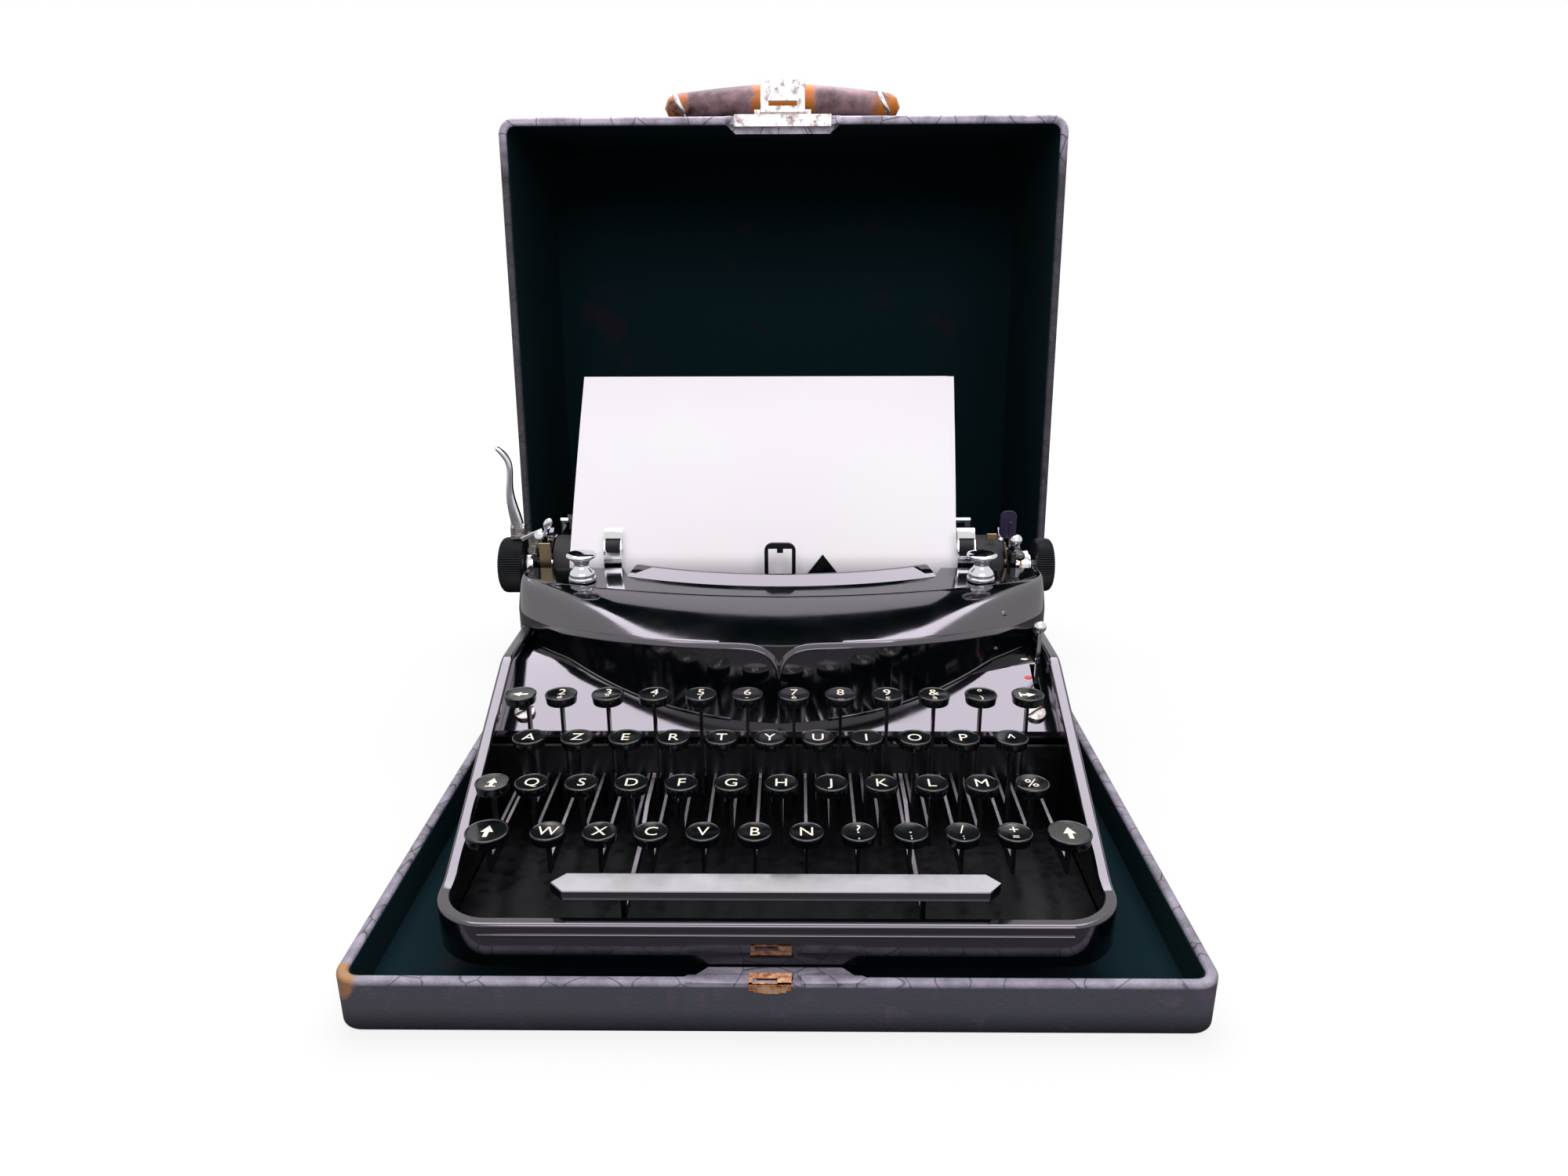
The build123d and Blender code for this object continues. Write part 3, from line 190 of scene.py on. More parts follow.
def rolled_rim(shape, height, at_lock, radius=1.5):
    """Rounds the rim of a box where its covering turns over, apart from the place of the lock."""
    lock_half = 31
    for x in (-lock_half, lock_half):
        bmesh.ops.bisect_plane(shape, geom=shape.verts[:] + shape.edges[:] + shape.faces[:],
                               plane_co=(x, 0, 0), plane_no=(1, 0, 0))
    rim = [edge for edge in shape.edges if edge.is_manifold and edge.calc_face_angle() > radians(50)
           and max(height(vert.co) for vert in edge.verts) < 0.4
           and not (at_lock(edge.verts[0].co)
                    and max(abs(vert.co.x) for vert in edge.verts) < lock_half + 0.1)]
    eased(shape, rim, radius, segments=4, clamp=False)
    return shape


tray_high = 21
tray = rolled_rim(copied("case_tray", ease=0), lambda spot: abs(tray_high - spot.z), lambda spot: spot.y < 0)
piece("tray_board_covered", tray, leatherette, "case_tray")

# Lining of the tray and the lid: thin black cloth pasted on card, faded to a green cast with a few
# rusty stains. It is made as two open pans, and its weave is drawn coarser than the real one.
cloth, tree, shader, place = finish("lining_cloth_pasted", "#051e23", Roughness=0.9, Specular_IOR_Level=0.12)
weave_a = node(tree, "TexWave", {"Vector": place, "Scale": 420.0, "Distortion": 0.5}, bands_direction="X")
weave_b = node(tree, "TexWave", {"Vector": place, "Scale": 420.0, "Distortion": 0.5}, bands_direction="Z")
threads = node(tree, "Math", {0: weave_a, 1: weave_b}, operation="MAXIMUM")
cloud = node(tree, "TexNoise", {"Vector": place, "Scale": 22.0, "Detail": 5.0, "Roughness": 0.6})
stain = node(tree, "MapRange", {"Value": cloud, "From Min": 0.6, "From Max": 0.78})
node(tree, "Mix", {0: stain, 6: "#051e23", 7: "#261a20"}, to=shader["Base Color"], data_type="RGBA")
node(tree, "Bump", {"Height": threads, "Strength": 0.2, "Distance": 0.0002}, to=shader["Normal"])


def kept(node_name, how, material, ease=0.3):
    """A piece in its CAD form, with a last word on what it is or how it is made."""
    piece(node_name + "_" + how, copied(node_name, ease=ease), material, node_name)


kept("tray_lining", "pan", cloth, ease=0.15)
kept("lid_lining", "pan", cloth, ease=0.15)

# Lid of the case: a deeper box of the same thin board, glued and nailed at its corners. It has the
# same leatherette outside, turned in over its rim.
lid = rolled_rim(copied("case_lid", ease=0), lambda spot: abs(lid_rise.dot(spot - hinge_line) - 0.2),
                 lambda spot: spot.z > 200)
piece("lid_board_covered", lid, leatherette, "case_lid")

# Fittings of the case, stamped from thin sheet: butt hinges with their pins, lock plate and hasp on
# the lid, handle brackets. The plating is dull and pitted, the keeper's is worn through to copper.
nickel, tree, shader, place = finish("nickel_plate_dulled", "#b9b4b2", Metallic=1.0, Roughness=0.34)
pits = node(tree, "TexNoise", {"Vector": place, "Scale": 260.0, "Detail": 5.0, "Roughness": 0.7})
tarnish = node(tree, "MapRange", {"Value": pits, "From Min": 0.5, "From Max": 0.68})
node(tree, "Mix", {0: tarnish, 6: "#c4c0be", 7: "#6f625c"}, to=shader["Base Color"], data_type="RGBA")
node(tree, "MapRange", {"Value": pits, "From Min": 0.35, "From Max": 0.7, "To Min": 0.24, "To Max": 0.55},
     to=shader["Roughness"])
node(tree, "Bump", {"Height": pits, "Strength": 0.25, "Distance": 0.0002}, to=shader["Normal"])
for name in ("tray_hinge_leaves", "lid_hinge_leaves", "lock_plate", "lock_hasp", "handle_brackets"):
    kept(name, "stamped", nickel, ease=0.25)

# Brass of the keeper, corroded: pink copper with rusty brown spots
copper, tree, shader, place = finish("keeper_brass_corroded", "#c98a4a", Metallic=0.5, Roughness=0.45)
rust = node(tree, "TexNoise", {"Vector": place, "Scale": 420.0, "Detail": 6.0, "Roughness": 0.7})
spread = node(tree, "MapRange", {"Value": rust, "From Min": 0.42, "From Max": 0.62})
node(tree, "Mix", {0: spread, 6: "#eab98e", 7: "#a85a28"}, to=shader["Base Color"], data_type="RGBA")
node(tree, "Bump", {"Height": rust, "Strength": 0.4, "Distance": 0.0003}, to=shader["Normal"])


def put(shape, verts, centre, turn=0, axis="Y"):
    """Turns points about the origin and moves them to their place."""
    bmesh.ops.rotate(shape, matrix=Matrix.Rotation(radians(turn), 3, axis), verts=verts)
    bmesh.ops.translate(shape, vec=centre, verts=verts)


def block(shape, size, centre, ease=0.2, turn=0):
    """A bar with slightly rounded edges, turned about its own middle and set in its place."""
    bar = bmesh.ops.create_cube(shape, size=1)["verts"]
    bmesh.ops.scale(shape, vec=size, verts=bar)
    put(shape, bar, centre, turn)
    eased(shape, [edge for edge in shape.edges if edge.verts[0] in bar], ease)


keeper = bmesh.new()
for size, centre in (((14.6, 2.4, 0.8), (-1.6, -141.7, 20.6)), ((14.6, 1.4, 0.8), (-1.6, -146.1, 20.6)),
                     ((1.5, 4.0, 0.8), (-8.15, -144.4, 20.6)), ((4.9, 4.0, 0.8), (3.25, -144.4, 20.6)),
                     ((14.6, 0.8, 2.6), (-1.6, -146.4, 19.7)), ((11.0, 0.8, 1.0), (-1.6, -146.4, 18.2)),
                     ((6.0, 0.8, 0.7), (-1.4, -146.4, 17.6))):
    block(keeper, size, centre, ease=0.15)
piece("lock_keeper_folded", keeper, copper, "lock_keeper")

# Carrying handle: a grip of brown leather sewn round a filling, thick in the middle and pinched round
# the wire loops at its ends, where the leather has worn orange
grip_middle, grip_up, grip_half = -0.8, 47.0, 66.5
lid_depth = 294.4


def on_lid(across, out, up):
    """A point given across the lid, out from its front wall and up from its rim."""
    outward = Vector((0, sin(lid_lean), cos(lid_lean)))
    return hinge_line + Vector((across, 0, 0)) + outward * (lid_depth + out) + lid_rise * up


def surface(columns, rows, spot):
    """A grid of faces whose points are put in their spots by column and row, both 0 to 1."""
    shape = bmesh.new()
    bmesh.ops.create_grid(shape, x_segments=columns, y_segments=rows, size=1)
    for vert in shape.verts:
        vert.co = spot((vert.co.x + 1) / 2, (vert.co.y + 1) / 2)
    bmesh.ops.remove_doubles(shape, verts=shape.verts, dist=0.004)
    bmesh.ops.recalc_face_normals(shape, faces=shape.faces)
    return shape


def grip_spot(along, around):
    """A point of the grip, which bows away from the lid in its middle and closes at its ends."""
    run = 2 * along - 1
    turn = 2 * pi * around
    end = max(0.0, abs(run) - 0.86) / 0.14
    girth = sqrt(max(0.0, 1 - end ** 2.6)) * (0.9 + 0.1 * cos(pi * run))
    out = 15.4 - 3.8 * run * run + 8.6 * girth * cos(turn)
    seam = 0.35 * max(0.0, cos(turn + pi)) ** 40
    return on_lid(grip_half * run + grip_middle, out + seam, grip_up + 7.6 * girth * sin(turn))


# Tanned hide: pale patches on dark brown, partly bloom and partly a painted sheen, a fine pore, and raw
# orange where hands and wire rub
leather, tree, shader, place = finish("handle_leather_tanned", "#4a2a22", Roughness=0.5)
hide = node(tree, "TexNoise", {"Vector": place, "Scale": 700.0, "Detail": 4.0})
patches = node(tree, "TexNoise", {"Vector": place, "Scale": 34.0, "Detail": 5.0, "Roughness": 0.62})
across = node(tree, "SeparateXYZ", {"Vector": place})
reach = node(tree, "Math", {0: across.outputs["X"]}, operation="ABSOLUTE")
tips = node(tree, "MapRange", {"Value": reach, "From Min": 0.044, "From Max": 0.054, "To Max": 0.25})
waist = node(tree, "MapRange", {"Value": reach, "From Min": 0.021, "From Max": 0.016, "To Max": 0.24})
worn = node(tree, "Math", {0: tips, 1: waist}, operation="ADD")
both = node(tree, "Math", {0: worn, 1: patches}, operation="ADD")
orange = node(tree, "MapRange", {"Value": both, "From Min": 0.68, "From Max": 0.78})
# Pale patches: partly bloom on the leather, partly a painted sheen
pale_bloom_and_sheen = node(tree, "MapRange", {"Value": patches, "From Min": 0.42, "From Max": 0.6})
dark = node(tree, "Mix", {0: pale_bloom_and_sheen, 6: "#3a1f20", 7: "#b08c92"}, data_type="RGBA")
node(tree, "Mix", {0: orange, 6: dark, 7: "#d47a22"}, to=shader["Base Color"], data_type="RGBA")
node(tree, "Bump", {"Height": hide, "Strength": 0.3, "Distance": 0.0003}, to=shader["Normal"])
piece("handle_grip_sewn", surface(64, 32, grip_spot), leather, "handle_grip", smooth=80)

# Loops that hold the grip: steel wire, bent and chromed, with a flat band round the grip at each. The
# plating is a mirror with faint swirl marks, and the machine's other bright parts share it.
chrome, tree, shader, place = finish("chrome_plate_polished", "#d6d6db", Metallic=1.0, Roughness=0.09)
swirl = node(tree, "TexNoise", {"Vector": place, "Scale": 180.0, "Detail": 5.0, "Roughness": 0.7})
node(tree, "MapRange", {"Value": swirl, "From Min": 0.45, "From Max": 0.75, "To Min": 0.06, "To Max": 0.26},
     to=shader["Roughness"])
node(tree, "Bump", {"Height": swirl, "Strength": 0.04, "Distance": 0.0002}, to=shader["Normal"])
piece("handle_wire_loops", copied("handle_loops", ease=0), chrome, "handle_loops")


def turned(profile, centre, steps=64, lying=False):
    """A closed body turned from its outline of radius and height, standing or lying across."""
    shape = bmesh.new()
    ring = [shape.verts.new((radius, 0, height)) for radius, height in profile]
    edges = [shape.edges.new(pair) for pair in zip(ring, ring[1:])]
    bmesh.ops.spin(shape, geom=ring + edges, cent=(0, 0, 0), axis=(0, 0, 1), angle=2 * pi, steps=steps,
                   use_merge=True, use_duplicate=False)
    bmesh.ops.remove_doubles(shape, verts=shape.verts, dist=0.003)
    bmesh.ops.recalc_face_normals(shape, faces=shape.faces)
    put(shape, shape.verts, centre, 90 if lying else 0)
    return shape


def join(whole, shape):
    """Puts a shape into another one as a part of it."""
    flat = bpy.data.meshes.new("join")
    shape.to_mesh(flat)
    shape.free()
    whole.from_mesh(flat)


bands = bmesh.new()
for side in (-1, 1):
    ring = [(7.35 + 0.65 * cos(pi * k / 6), 1.2 * sin(pi * k / 6)) for k in range(13)]
    made = turned(ring, (0, 0, 0), steps=48, lying=True)
    bmesh.ops.scale(made, vec=(1, 0.86, 1), verts=made.verts)
    put(made, made.verts, on_lid(57.5 * side + grip_middle, 12.8, grip_up), -28)
    join(bands, made)
piece("handle_loop_bands", bands, chrome, beside="handle_loops")

# Frame of the machine: one casting with a low apron and rails that climb beside the keys. It is
# stove enamelled in gloss black, so its rounded rim shows the lights as long white lines.
enamel, tree, shader, place = finish("enamel_stoved_black", "#04080a", Roughness=0.1, IOR=2.0,
                                     Specular_Tint=(0.97, 0.91, 1.0, 1.0))
flow = node(tree, "TexNoise", {"Vector": place, "Scale": 160.0, "Detail": 2.0})
haze = node(tree, "TexNoise", {"Vector": place, "Scale": 30.0, "Detail": 6.0, "Roughness": 0.6})
chips = node(tree, "TexNoise", {"Vector": place, "Scale": 700.0, "Detail": 3.0, "Roughness": 0.8})
dust = node(tree, "MapRange", {"Value": chips, "From Min": 0.7, "From Max": 0.8})
node(tree, "Mix", {0: dust, 6: "#04080a", 7: "#3a3540"}, to=shader["Base Color"], data_type="RGBA")
node(tree, "MapRange", {"Value": haze, "From Min": 0.35, "From Max": 0.75, "To Min": 0.05, "To Max": 0.16},
     to=shader["Roughness"])
node(tree, "Bump", {"Height": flow, "Strength": 0.03, "Distance": 0.0003}, to=shader["Normal"])
piece("base_frame_cast", copied("base_frame", ease=1.7, segments=5), enamel, "base_frame")
moulding = bmesh.new()
block(moulding, (204, 1.2, 1.1), (0, -136.1, 32.4), ease=0.35)
piece("apron_moulding_line", moulding, enamel, beside="base_frame")

# Bottom pan, pressed from sheet and screwed inside the frame's foot, and the four rubber feet moulded
# round its screws

# Sheet steel, bare: dull, with darker oily clouds
steel, tree, shader, place = finish("sheet_steel_bare", "#8c8a88", Metallic=1.0, Roughness=0.36)
rolled = node(tree, "TexNoise", {"Vector": place, "Scale": 240.0, "Detail": 5.0, "Roughness": 0.65})
oily = node(tree, "MapRange", {"Value": rolled, "From Min": 0.45, "From Max": 0.7})
node(tree, "Mix", {0: oily, 6: "#98958f", 7: "#4a4440"}, to=shader["Base Color"], data_type="RGBA")
node(tree, "Bump", {"Height": rolled, "Strength": 0.1, "Distance": 0.0002}, to=shader["Normal"])

# Steel, blacked in hot oil: a dark skin with a weak uneven sheen
black_steel, tree, shader, place = finish("steel_oil_blacked", "#0a0c0e", Roughness=0.42,
                                          Specular_IOR_Level=0.25)
spots = node(tree, "TexNoise", {"Vector": place, "Scale": 200.0, "Detail": 5.0, "Roughness": 0.6})
node(tree, "MapRange", {"Value": spots, "From Min": 0.35, "From Max": 0.7, "To Min": 0.28, "To Max": 0.55},
     to=shader["Roughness"])
node(tree, "Mix", {0: spots, 6: "#030405", 7: "#0c0d10"}, to=shader["Base Color"], data_type="RGBA")

# Moulded rubber: matt, with a greyish bloom
rubber, tree, shader, place = finish("rubber_moulded_black", "#1a191b", Roughness=0.68,
                                     Specular_IOR_Level=0.4)
bloom = node(tree, "TexNoise", {"Vector": place, "Scale": 120.0, "Detail": 5.0})
node(tree, "Mix", {0: bloom, 6: "#131214", 7: "#2a292c"}, to=shader["Base Color"], data_type="RGBA")
node(tree, "Bump", {"Height": bloom, "Strength": 0.12, "Distance": 0.0003}, to=shader["Normal"])
kept("bottom_pan", "pressed", black_steel, ease=0.4)
kept("rubber_feet", "moulded", rubber, ease=1.0)

# Deck behind the keys: enamelled sheet that climbs to the spools, held by two slotted steel screws,
# with a white and a red spot painted beside the ribbon lever
deck_slope, slope_end = 26.24, 1.5
kept("deck_panel", "enamelled", enamel)
piece("deck_screws_slotted", copied("deck_fixings", ease=0.25), steel, "deck_fixings")
for name, colour, y, z in (("white", "#e9e2c4", 2.9, 76.05), ("red", "#c81e3c", -7.5, 71.62)):
    paint, tree, shader, place = finish(name + "_paint_brushed", colour, Roughness=0.4)
    brushed = node(tree, "TexNoise", {"Vector": place, "Scale": 900.0})
    node(tree, "Bump", {"Height": brushed, "Strength": 0.2, "Distance": 0.0002}, to=shader["Normal"])
    spot = bmesh.new()
    bmesh.ops.create_uvsphere(spot, u_segments=24, v_segments=8, radius=1)
    bmesh.ops.scale(spot, vec=(1.7, 1.1, 0.14), verts=spot.verts)
    put(spot, spot.verts, (109.6, y, z), deck_slope if y < slope_end else 0, "X")
    piece(name + "_ribbon_mark", spot, paint, beside="deck_panel")

# Shield over the type basket: pressed sheet, bowed in plan. A bead runs round it and dips to a point
# in the middle, and above the bead the crown leans back to the cover plate.


def rounded_path(corners, along):
    """A point on the smooth line that runs near the given corners, along 0 to 1."""
    corners = [corners[0] * 2 - corners[1]] + corners + [corners[-1] * 2 - corners[-2]]
    step = along * (len(corners) - 3)
    first = min(int(step), len(corners) - 4)
    t = step - first
    a, b, c, d = corners[first:first + 4]
    near, far = 3 * t ** 3 - 6 * t * t + 4, 1 + 3 * t + 3 * t * t - 3 * t ** 3
    return (a * (1 - t) ** 3 + b * near + c * far + d * t ** 3) / 6


foot_plan = [Vector(spot) for spot in (
    (0, -30.5), (24, -28.67), (47, -23.35), (70, -14.15), (94, 0.3), (109.6, 14.8), (120.2, 24.6),
    (125.2, 33), (125.2, 43), (125.2, 53), (125.2, 62))]
rim_plan = [Vector(spot) for spot in (
    (0, 17.3), (28, 18.6), (56, 22.4), (84, 29.0), (104, 35.2), (115, 39.9), (122, 43.6),
    (125.6, 48), (126, 53), (126, 58), (126, 62))]
# Rows of the crown, and of the rolled edge: set in from the rim, and height
crown_rows = 16
rolled_edge = ((0.35, 100.55), (1.2, 100.6), (1.6, 100.2), (1.6, 98.6))
shield_rows = 2 + crown_rows + len(rolled_edge)
bead_high, bead_drop, bead_half, crown_high = 95.0, 7.0, 104, 100.3


def bead_line(x):
    """Height of the bead, which falls away to the sides."""
    return bead_high - bead_drop * (x / bead_half) ** 2


def deck_line(y):
    """Height of the deck's slope."""
    return 58.6 + (y + 34) * tan(radians(deck_slope))


def shield_spot(along, level):
    """A point of the shield's outer side, from its foot up the wall, over the crown and round the edge."""
    side = 2 * along - 1
    run = abs(side) ** 1.35
    foot, rim = rounded_path(foot_plan, run), rounded_path(rim_plan, run)
    row = round(level * shield_rows)
    turn_up = bead_line(min(foot.x, bead_half)) + 1.0
    if row < 2:
        height = deck_line(foot.y) if foot.y < slope_end else 76.1
        height = height if foot.x < 114 else 84.2 if foot.x < 121.5 else 70.0
        flat, height = foot, (height, turn_up - 0.8)[row]
    elif row < 3 + crown_rows:
        share = 0.006 if row == 2 else (row - 2) / crown_rows
        flat = foot.lerp(rim, share)
        height = turn_up + (crown_high - turn_up) * (1 - (1 - share) ** 2.1)
    else:
        inset, height = rolled_edge[row - 3 - crown_rows]
        flat = rim - Vector((rim.x * 0.4, rim.y - 90)).normalized() * inset
    return Vector((flat.x if side >= 0 else -flat.x, flat.y, height))


def wire(path, section, steps=70):
    """A closed bar along a path, its section given out and up, drawn out to a point at its end."""
    def spot(along, turn):
        here, ahead = rounded_path(path, along * 0.998), rounded_path(path, along * 0.998 + 0.002)
        onward = (ahead - here).normalized()
        out = Vector((here.x * 0.4, here.y - 60, 0)).normalized()
        taper = min(1.0, (1 - along) / 0.1)
        outward, upward = section[round(turn * len(section)) % len(section)]
        return here + (out * outward + out.cross(onward) * upward) * taper
    return surface(steps, len(section), spot)


pressed = surface(150, shield_rows, shield_spot)
bmesh.ops.solidify(pressed, geom=pressed.faces[:], thickness=1.6)
# Corners of the bead's path from its point in the middle: across, and below the bead's line
bead_corners = [Vector((x, 0, -below)) for x, below in (
    (0.1, 13.0), (0.5, 10.0), (1.8, 6.2), (4.6, 2.6), (9, 0.6), *((14 + 8 * k, 0) for k in range(13)))]
for corner in bead_corners:
    along = next(k / 400 for k in range(401) if rounded_path(foot_plan, k / 400).x >= corner.x)
    corner.y = rounded_path(foot_plan, along).y
    corner.z += bead_line(corner.x)
foot_corners = []
for k in range(4, 33):
    spot = rounded_path(foot_plan, k / 46)
    foot_corners.append(Vector((spot.x, spot.y, deck_line(min(spot.y, slope_end)) + 0.4)))
bead_section = ((-0.8, 1.6), (0.1, 1.75), (0.5, 1.6), (2.0, 0.3), (2.2, -0.1), (2.1, -0.5), (1.7, -0.8),
                (0.2, -1.0), (-0.8, -1.0))
hem_section = [(0.55 * cos(pi * k / 5), 0.55 * sin(pi * k / 5)) for k in range(10)]
for path, section in ((bead_corners, bead_section), (foot_corners, hem_section)):
    for side in (-1, 1):
        strip = wire(path, section)
        bmesh.ops.scale(strip, vec=(side, 1, 1), verts=strip.verts)
        bmesh.ops.recalc_face_normals(strip, faces=strip.faces)
        join(pressed, strip)
button = bmesh.ops.create_uvsphere(pressed, u_segments=20, v_segments=10, radius=1.7)["verts"]
put(pressed, button, (100.8, 13.3, 93.7))
piece("front_shield_pressed", pressed, enamel, "front_shield", smooth=60)

# Crescent cover plate over the spools, and the curved visor strip along its back edge. Both are cut
# from sheet and stove enamelled, and the visor is rolled to its lean.
kept("ribbon_cover", "plate", enamel)
kept("visor_strip", "rolled", enamel, ease=0.25)

# Ribbon spools on their shafts: turned steel, chromed, with a waisted knob that stands on the cover.
# The outline is given as radius and height.
spool_outline = (
    (0, 77), (2.3, 77), (2.3, 78), (18.3, 78), (18.5, 78.2), (18.5, 78.6), (18.3, 78.8), (14.5, 78.8),
    (14.5, 92.2), (18.3, 92.2), (18.5, 92.4), (18.5, 92.8), (18.3, 93), (2.3, 93), (2.3, 100.4),
    (6.3, 100.4), (6.6, 100.7), (6.6, 102.0), (6.35, 102.3), (6.0, 102.4), (5.9, 102.9), (6.15, 103.6),
    (6.0, 104.4), (5.3, 105.4), (4.2, 106.5), (3.6, 107.5), (3.45, 108.3), (3.7, 109.3), (4.5, 110.4),
    (5.9, 111.4), (6.9, 112.0), (7.2, 112.5), (7.15, 113.1), (6.7, 113.6), (5.0, 114.0), (2.5, 114.4),
    (0, 114.6))
for side, name in ((-1, "left_ribbon_spool"), (1, "right_ribbon_spool")):
    piece(name + "_turned", turned(spool_outline, (95 * side, 42, 0)), chrome, name, smooth=55)

# Inked ribbon between the spools: thin cotton tape soaked in black ink, matt, with a weave that is
# drawn coarser than the real one so that it shows
ink, tree, shader, place = finish("ribbon_cotton_inked", "#0d0c10", Roughness=0.8, Specular_IOR_Level=0.3)
tape = node(tree, "TexWave", {"Vector": place, "Scale": 500.0}, bands_direction="Z")
node(tree, "Bump", {"Height": tape, "Strength": 0.25, "Distance": 0.0001}, to=shader["Normal"])
kept("ribbon_band", "inked", ink, ease=0)

# Type guide in front of the platen and the line pointer beside it: both cut from spring steel and
# blacked in oil
kept("type_guide", "cut", black_steel, ease=0.2)
kept("line_pointer", "cut", black_steel, ease=0.2)

# Works inside the frame: comb, fulcrum, segment, type bars, rail, truck, drum, wheel and posts, of
# bare or blacked steel and a brass wheel, oiled and dusty

# Cut brass, gone brown
brass, tree, shader, place = finish("brass_wheel_cut", "#b08a45", Metallic=1.0, Roughness=0.3)
lap = node(tree, "TexNoise", {"Vector": place, "Scale": 150.0, "Detail": 4.0})
node(tree, "Mix", {0: lap, 6: "#756448", 7: "#b8a682"}, to=shader["Base Color"], data_type="RGBA")
for name in ("lever_fulcrum", "type_segment", "carriage_rail", "works_posts", "roller_truck", "spring_drum"):
    kept(name, "machined", steel)
kept("key_comb", "punched", black_steel, ease=0)
kept("escapement_wheel", "cut", brass, ease=0)
kept("type_bars", "forged", black_steel, ease=0)

# Keys: flat levers of nickelled steel, each with a round cap moulded in black plastic. The caps are
# dished, their rims catch a thin white line, and cream characters are inlaid in the tops.

# Nickelled steel: bright on the upper faces, dark where the sides stand in each other's shade
lever_steel, tree, shader, place = finish("key_steel_nickelled", "#b4b0b4", Metallic=0.8, Roughness=0.36)
grime = node(tree, "TexNoise", {"Vector": place, "Scale": 60.0, "Detail": 5.0, "Roughness": 0.6})
dull = node(tree, "MapRange", {"Value": grime, "From Min": 0.42, "From Max": 0.66})
bright = node(tree, "Mix", {0: dull, 6: "#f4f0f6", 7: "#b0aab2"}, data_type="RGBA")
facing = node(tree, "SeparateXYZ", {"Vector": tree.nodes["Texture Coordinate"].outputs["Normal"]})
topside = node(tree, "MapRange", {"Value": facing.outputs["Z"], "From Min": 0.5, "From Max": 0.8})
node(tree, "Mix", {0: topside, 6: "#2c2a2e", 7: bright}, to=shader["Base Color"], data_type="RGBA")
node(tree, "MapRange", {"Value": grime, "From Min": 0.4, "From Max": 0.7, "To Min": 0.2, "To Max": 0.5},
     to=shader["Roughness"])

# Moulded plastic: glossy, duller where fingers have worn it
cap_plastic, tree, shader, place = finish("key_cap_plastic_moulded", "#060b0d", Roughness=0.12, IOR=1.55)
thumbed = node(tree, "TexNoise", {"Vector": place, "Scale": 110.0, "Detail": 5.0, "Roughness": 0.6})
node(tree, "MapRange", {"Value": thumbed, "From Min": 0.35, "From Max": 0.7, "To Min": 0.08, "To Max": 0.22},
     to=shader["Roughness"])

# Paint filled into the characters: matt cream, yellowed in places
cream, tree, shader, place = finish("legend_paint_filled", "#fff4da", Roughness=0.5)
aged = node(tree, "TexNoise", {"Vector": place, "Scale": 600.0, "Detail": 4.0})
node(tree, "Mix", {0: aged, 6: "#fffaf0", 7: "#efe0b8"}, to=shader["Base Color"], data_type="RGBA")


cap_high = 4


def dish(radius, reach):
    """Height of a cap's hollow top above its underside."""
    return 3.4 + 0.35 * min(1.0, reach / (radius - 0.9)) ** 2


def cap(radius):
    """One cap, turned about its own axis, with its underside at nought."""
    rim = [(radius - 0.55 + 0.55 * cos(radians(turn)), 3.45 + 0.55 * sin(radians(turn)))
           for turn in (-30, 0, 15, 30, 45, 60, 75, 90, 110, 130)]
    reach = radius - 0.98
    top = [(reach * k / 8, dish(radius, reach * k / 8)) for k in range(8, -1, -1)]
    side = [(radius - 0.7, 0), (radius - 0.5, 0.2), (radius - 0.18, 2.7), (radius - 0.2, 3.05)]
    return [(0, 0), *side, *rim, *top]


def cut_above(shape, height, closed=True):
    """Takes away what stands above a height, and closes the cuts."""
    bmesh.ops.bisect_plane(shape, geom=shape.verts[:] + shape.edges[:] + shape.faces[:],
                           plane_co=(0, 0, height), plane_no=(0, 0, 1), clear_outer=True)
    if closed:
        bmesh.ops.holes_fill(shape, edges=[edge for edge in shape.edges if edge.is_boundary], sides=0)
    return shape


def lettered(words, size, shift=(0, 0), stretch=1.0):
    """The flat mesh of some characters, centred, in millimetres."""
    line = bpy.data.curves.new("line", "FONT")
    line.body = words
    line.size = size
    line.align_x = "CENTER"
    line.align_y = "CENTER"
    line.resolution_u = 3
    holder = bpy.data.objects.new("line", line)
    flat = bpy.data.meshes.new_from_object(holder)
    bpy.data.objects.remove(holder)
    flat.transform(Matrix.Translation((*shift, 0)) @ Matrix.Diagonal((stretch, 1, 1, 1)))
    return flat


def arrow(turn, barred=False, size=1.0):
    """An arrowhead with a short shaft, and a bar before its tip if asked for, in millimetres."""
    shape = bmesh.new()
    bmesh.ops.create_circle(shape, cap_ends=True, segments=3, radius=2.3)
    bmesh.ops.translate(shape, vec=(0, 0.9, 0), verts=shape.verts)
    for wide, tall, y in ((0.7, 1.6, -1.6),) + (((2.0, 0.4, -3.1),) if barred else ()):
        bar = bmesh.ops.create_grid(shape, x_segments=1, y_segments=1, size=1)["verts"]
        bmesh.ops.scale(shape, vec=(wide, tall, 1), verts=bar)
        bmesh.ops.translate(shape, vec=(0, y, 0), verts=bar)
    bmesh.ops.rotate(shape, matrix=Matrix.Rotation(radians(turn), 3, "Z"), verts=shape.verts)
    bmesh.ops.scale(shape, vec=(size, size, 1), verts=shape.verts)
    flat = bpy.data.meshes.new("arrow")
    shape.to_mesh(flat)
    shape.free()
    return flat


pitch = 19.05
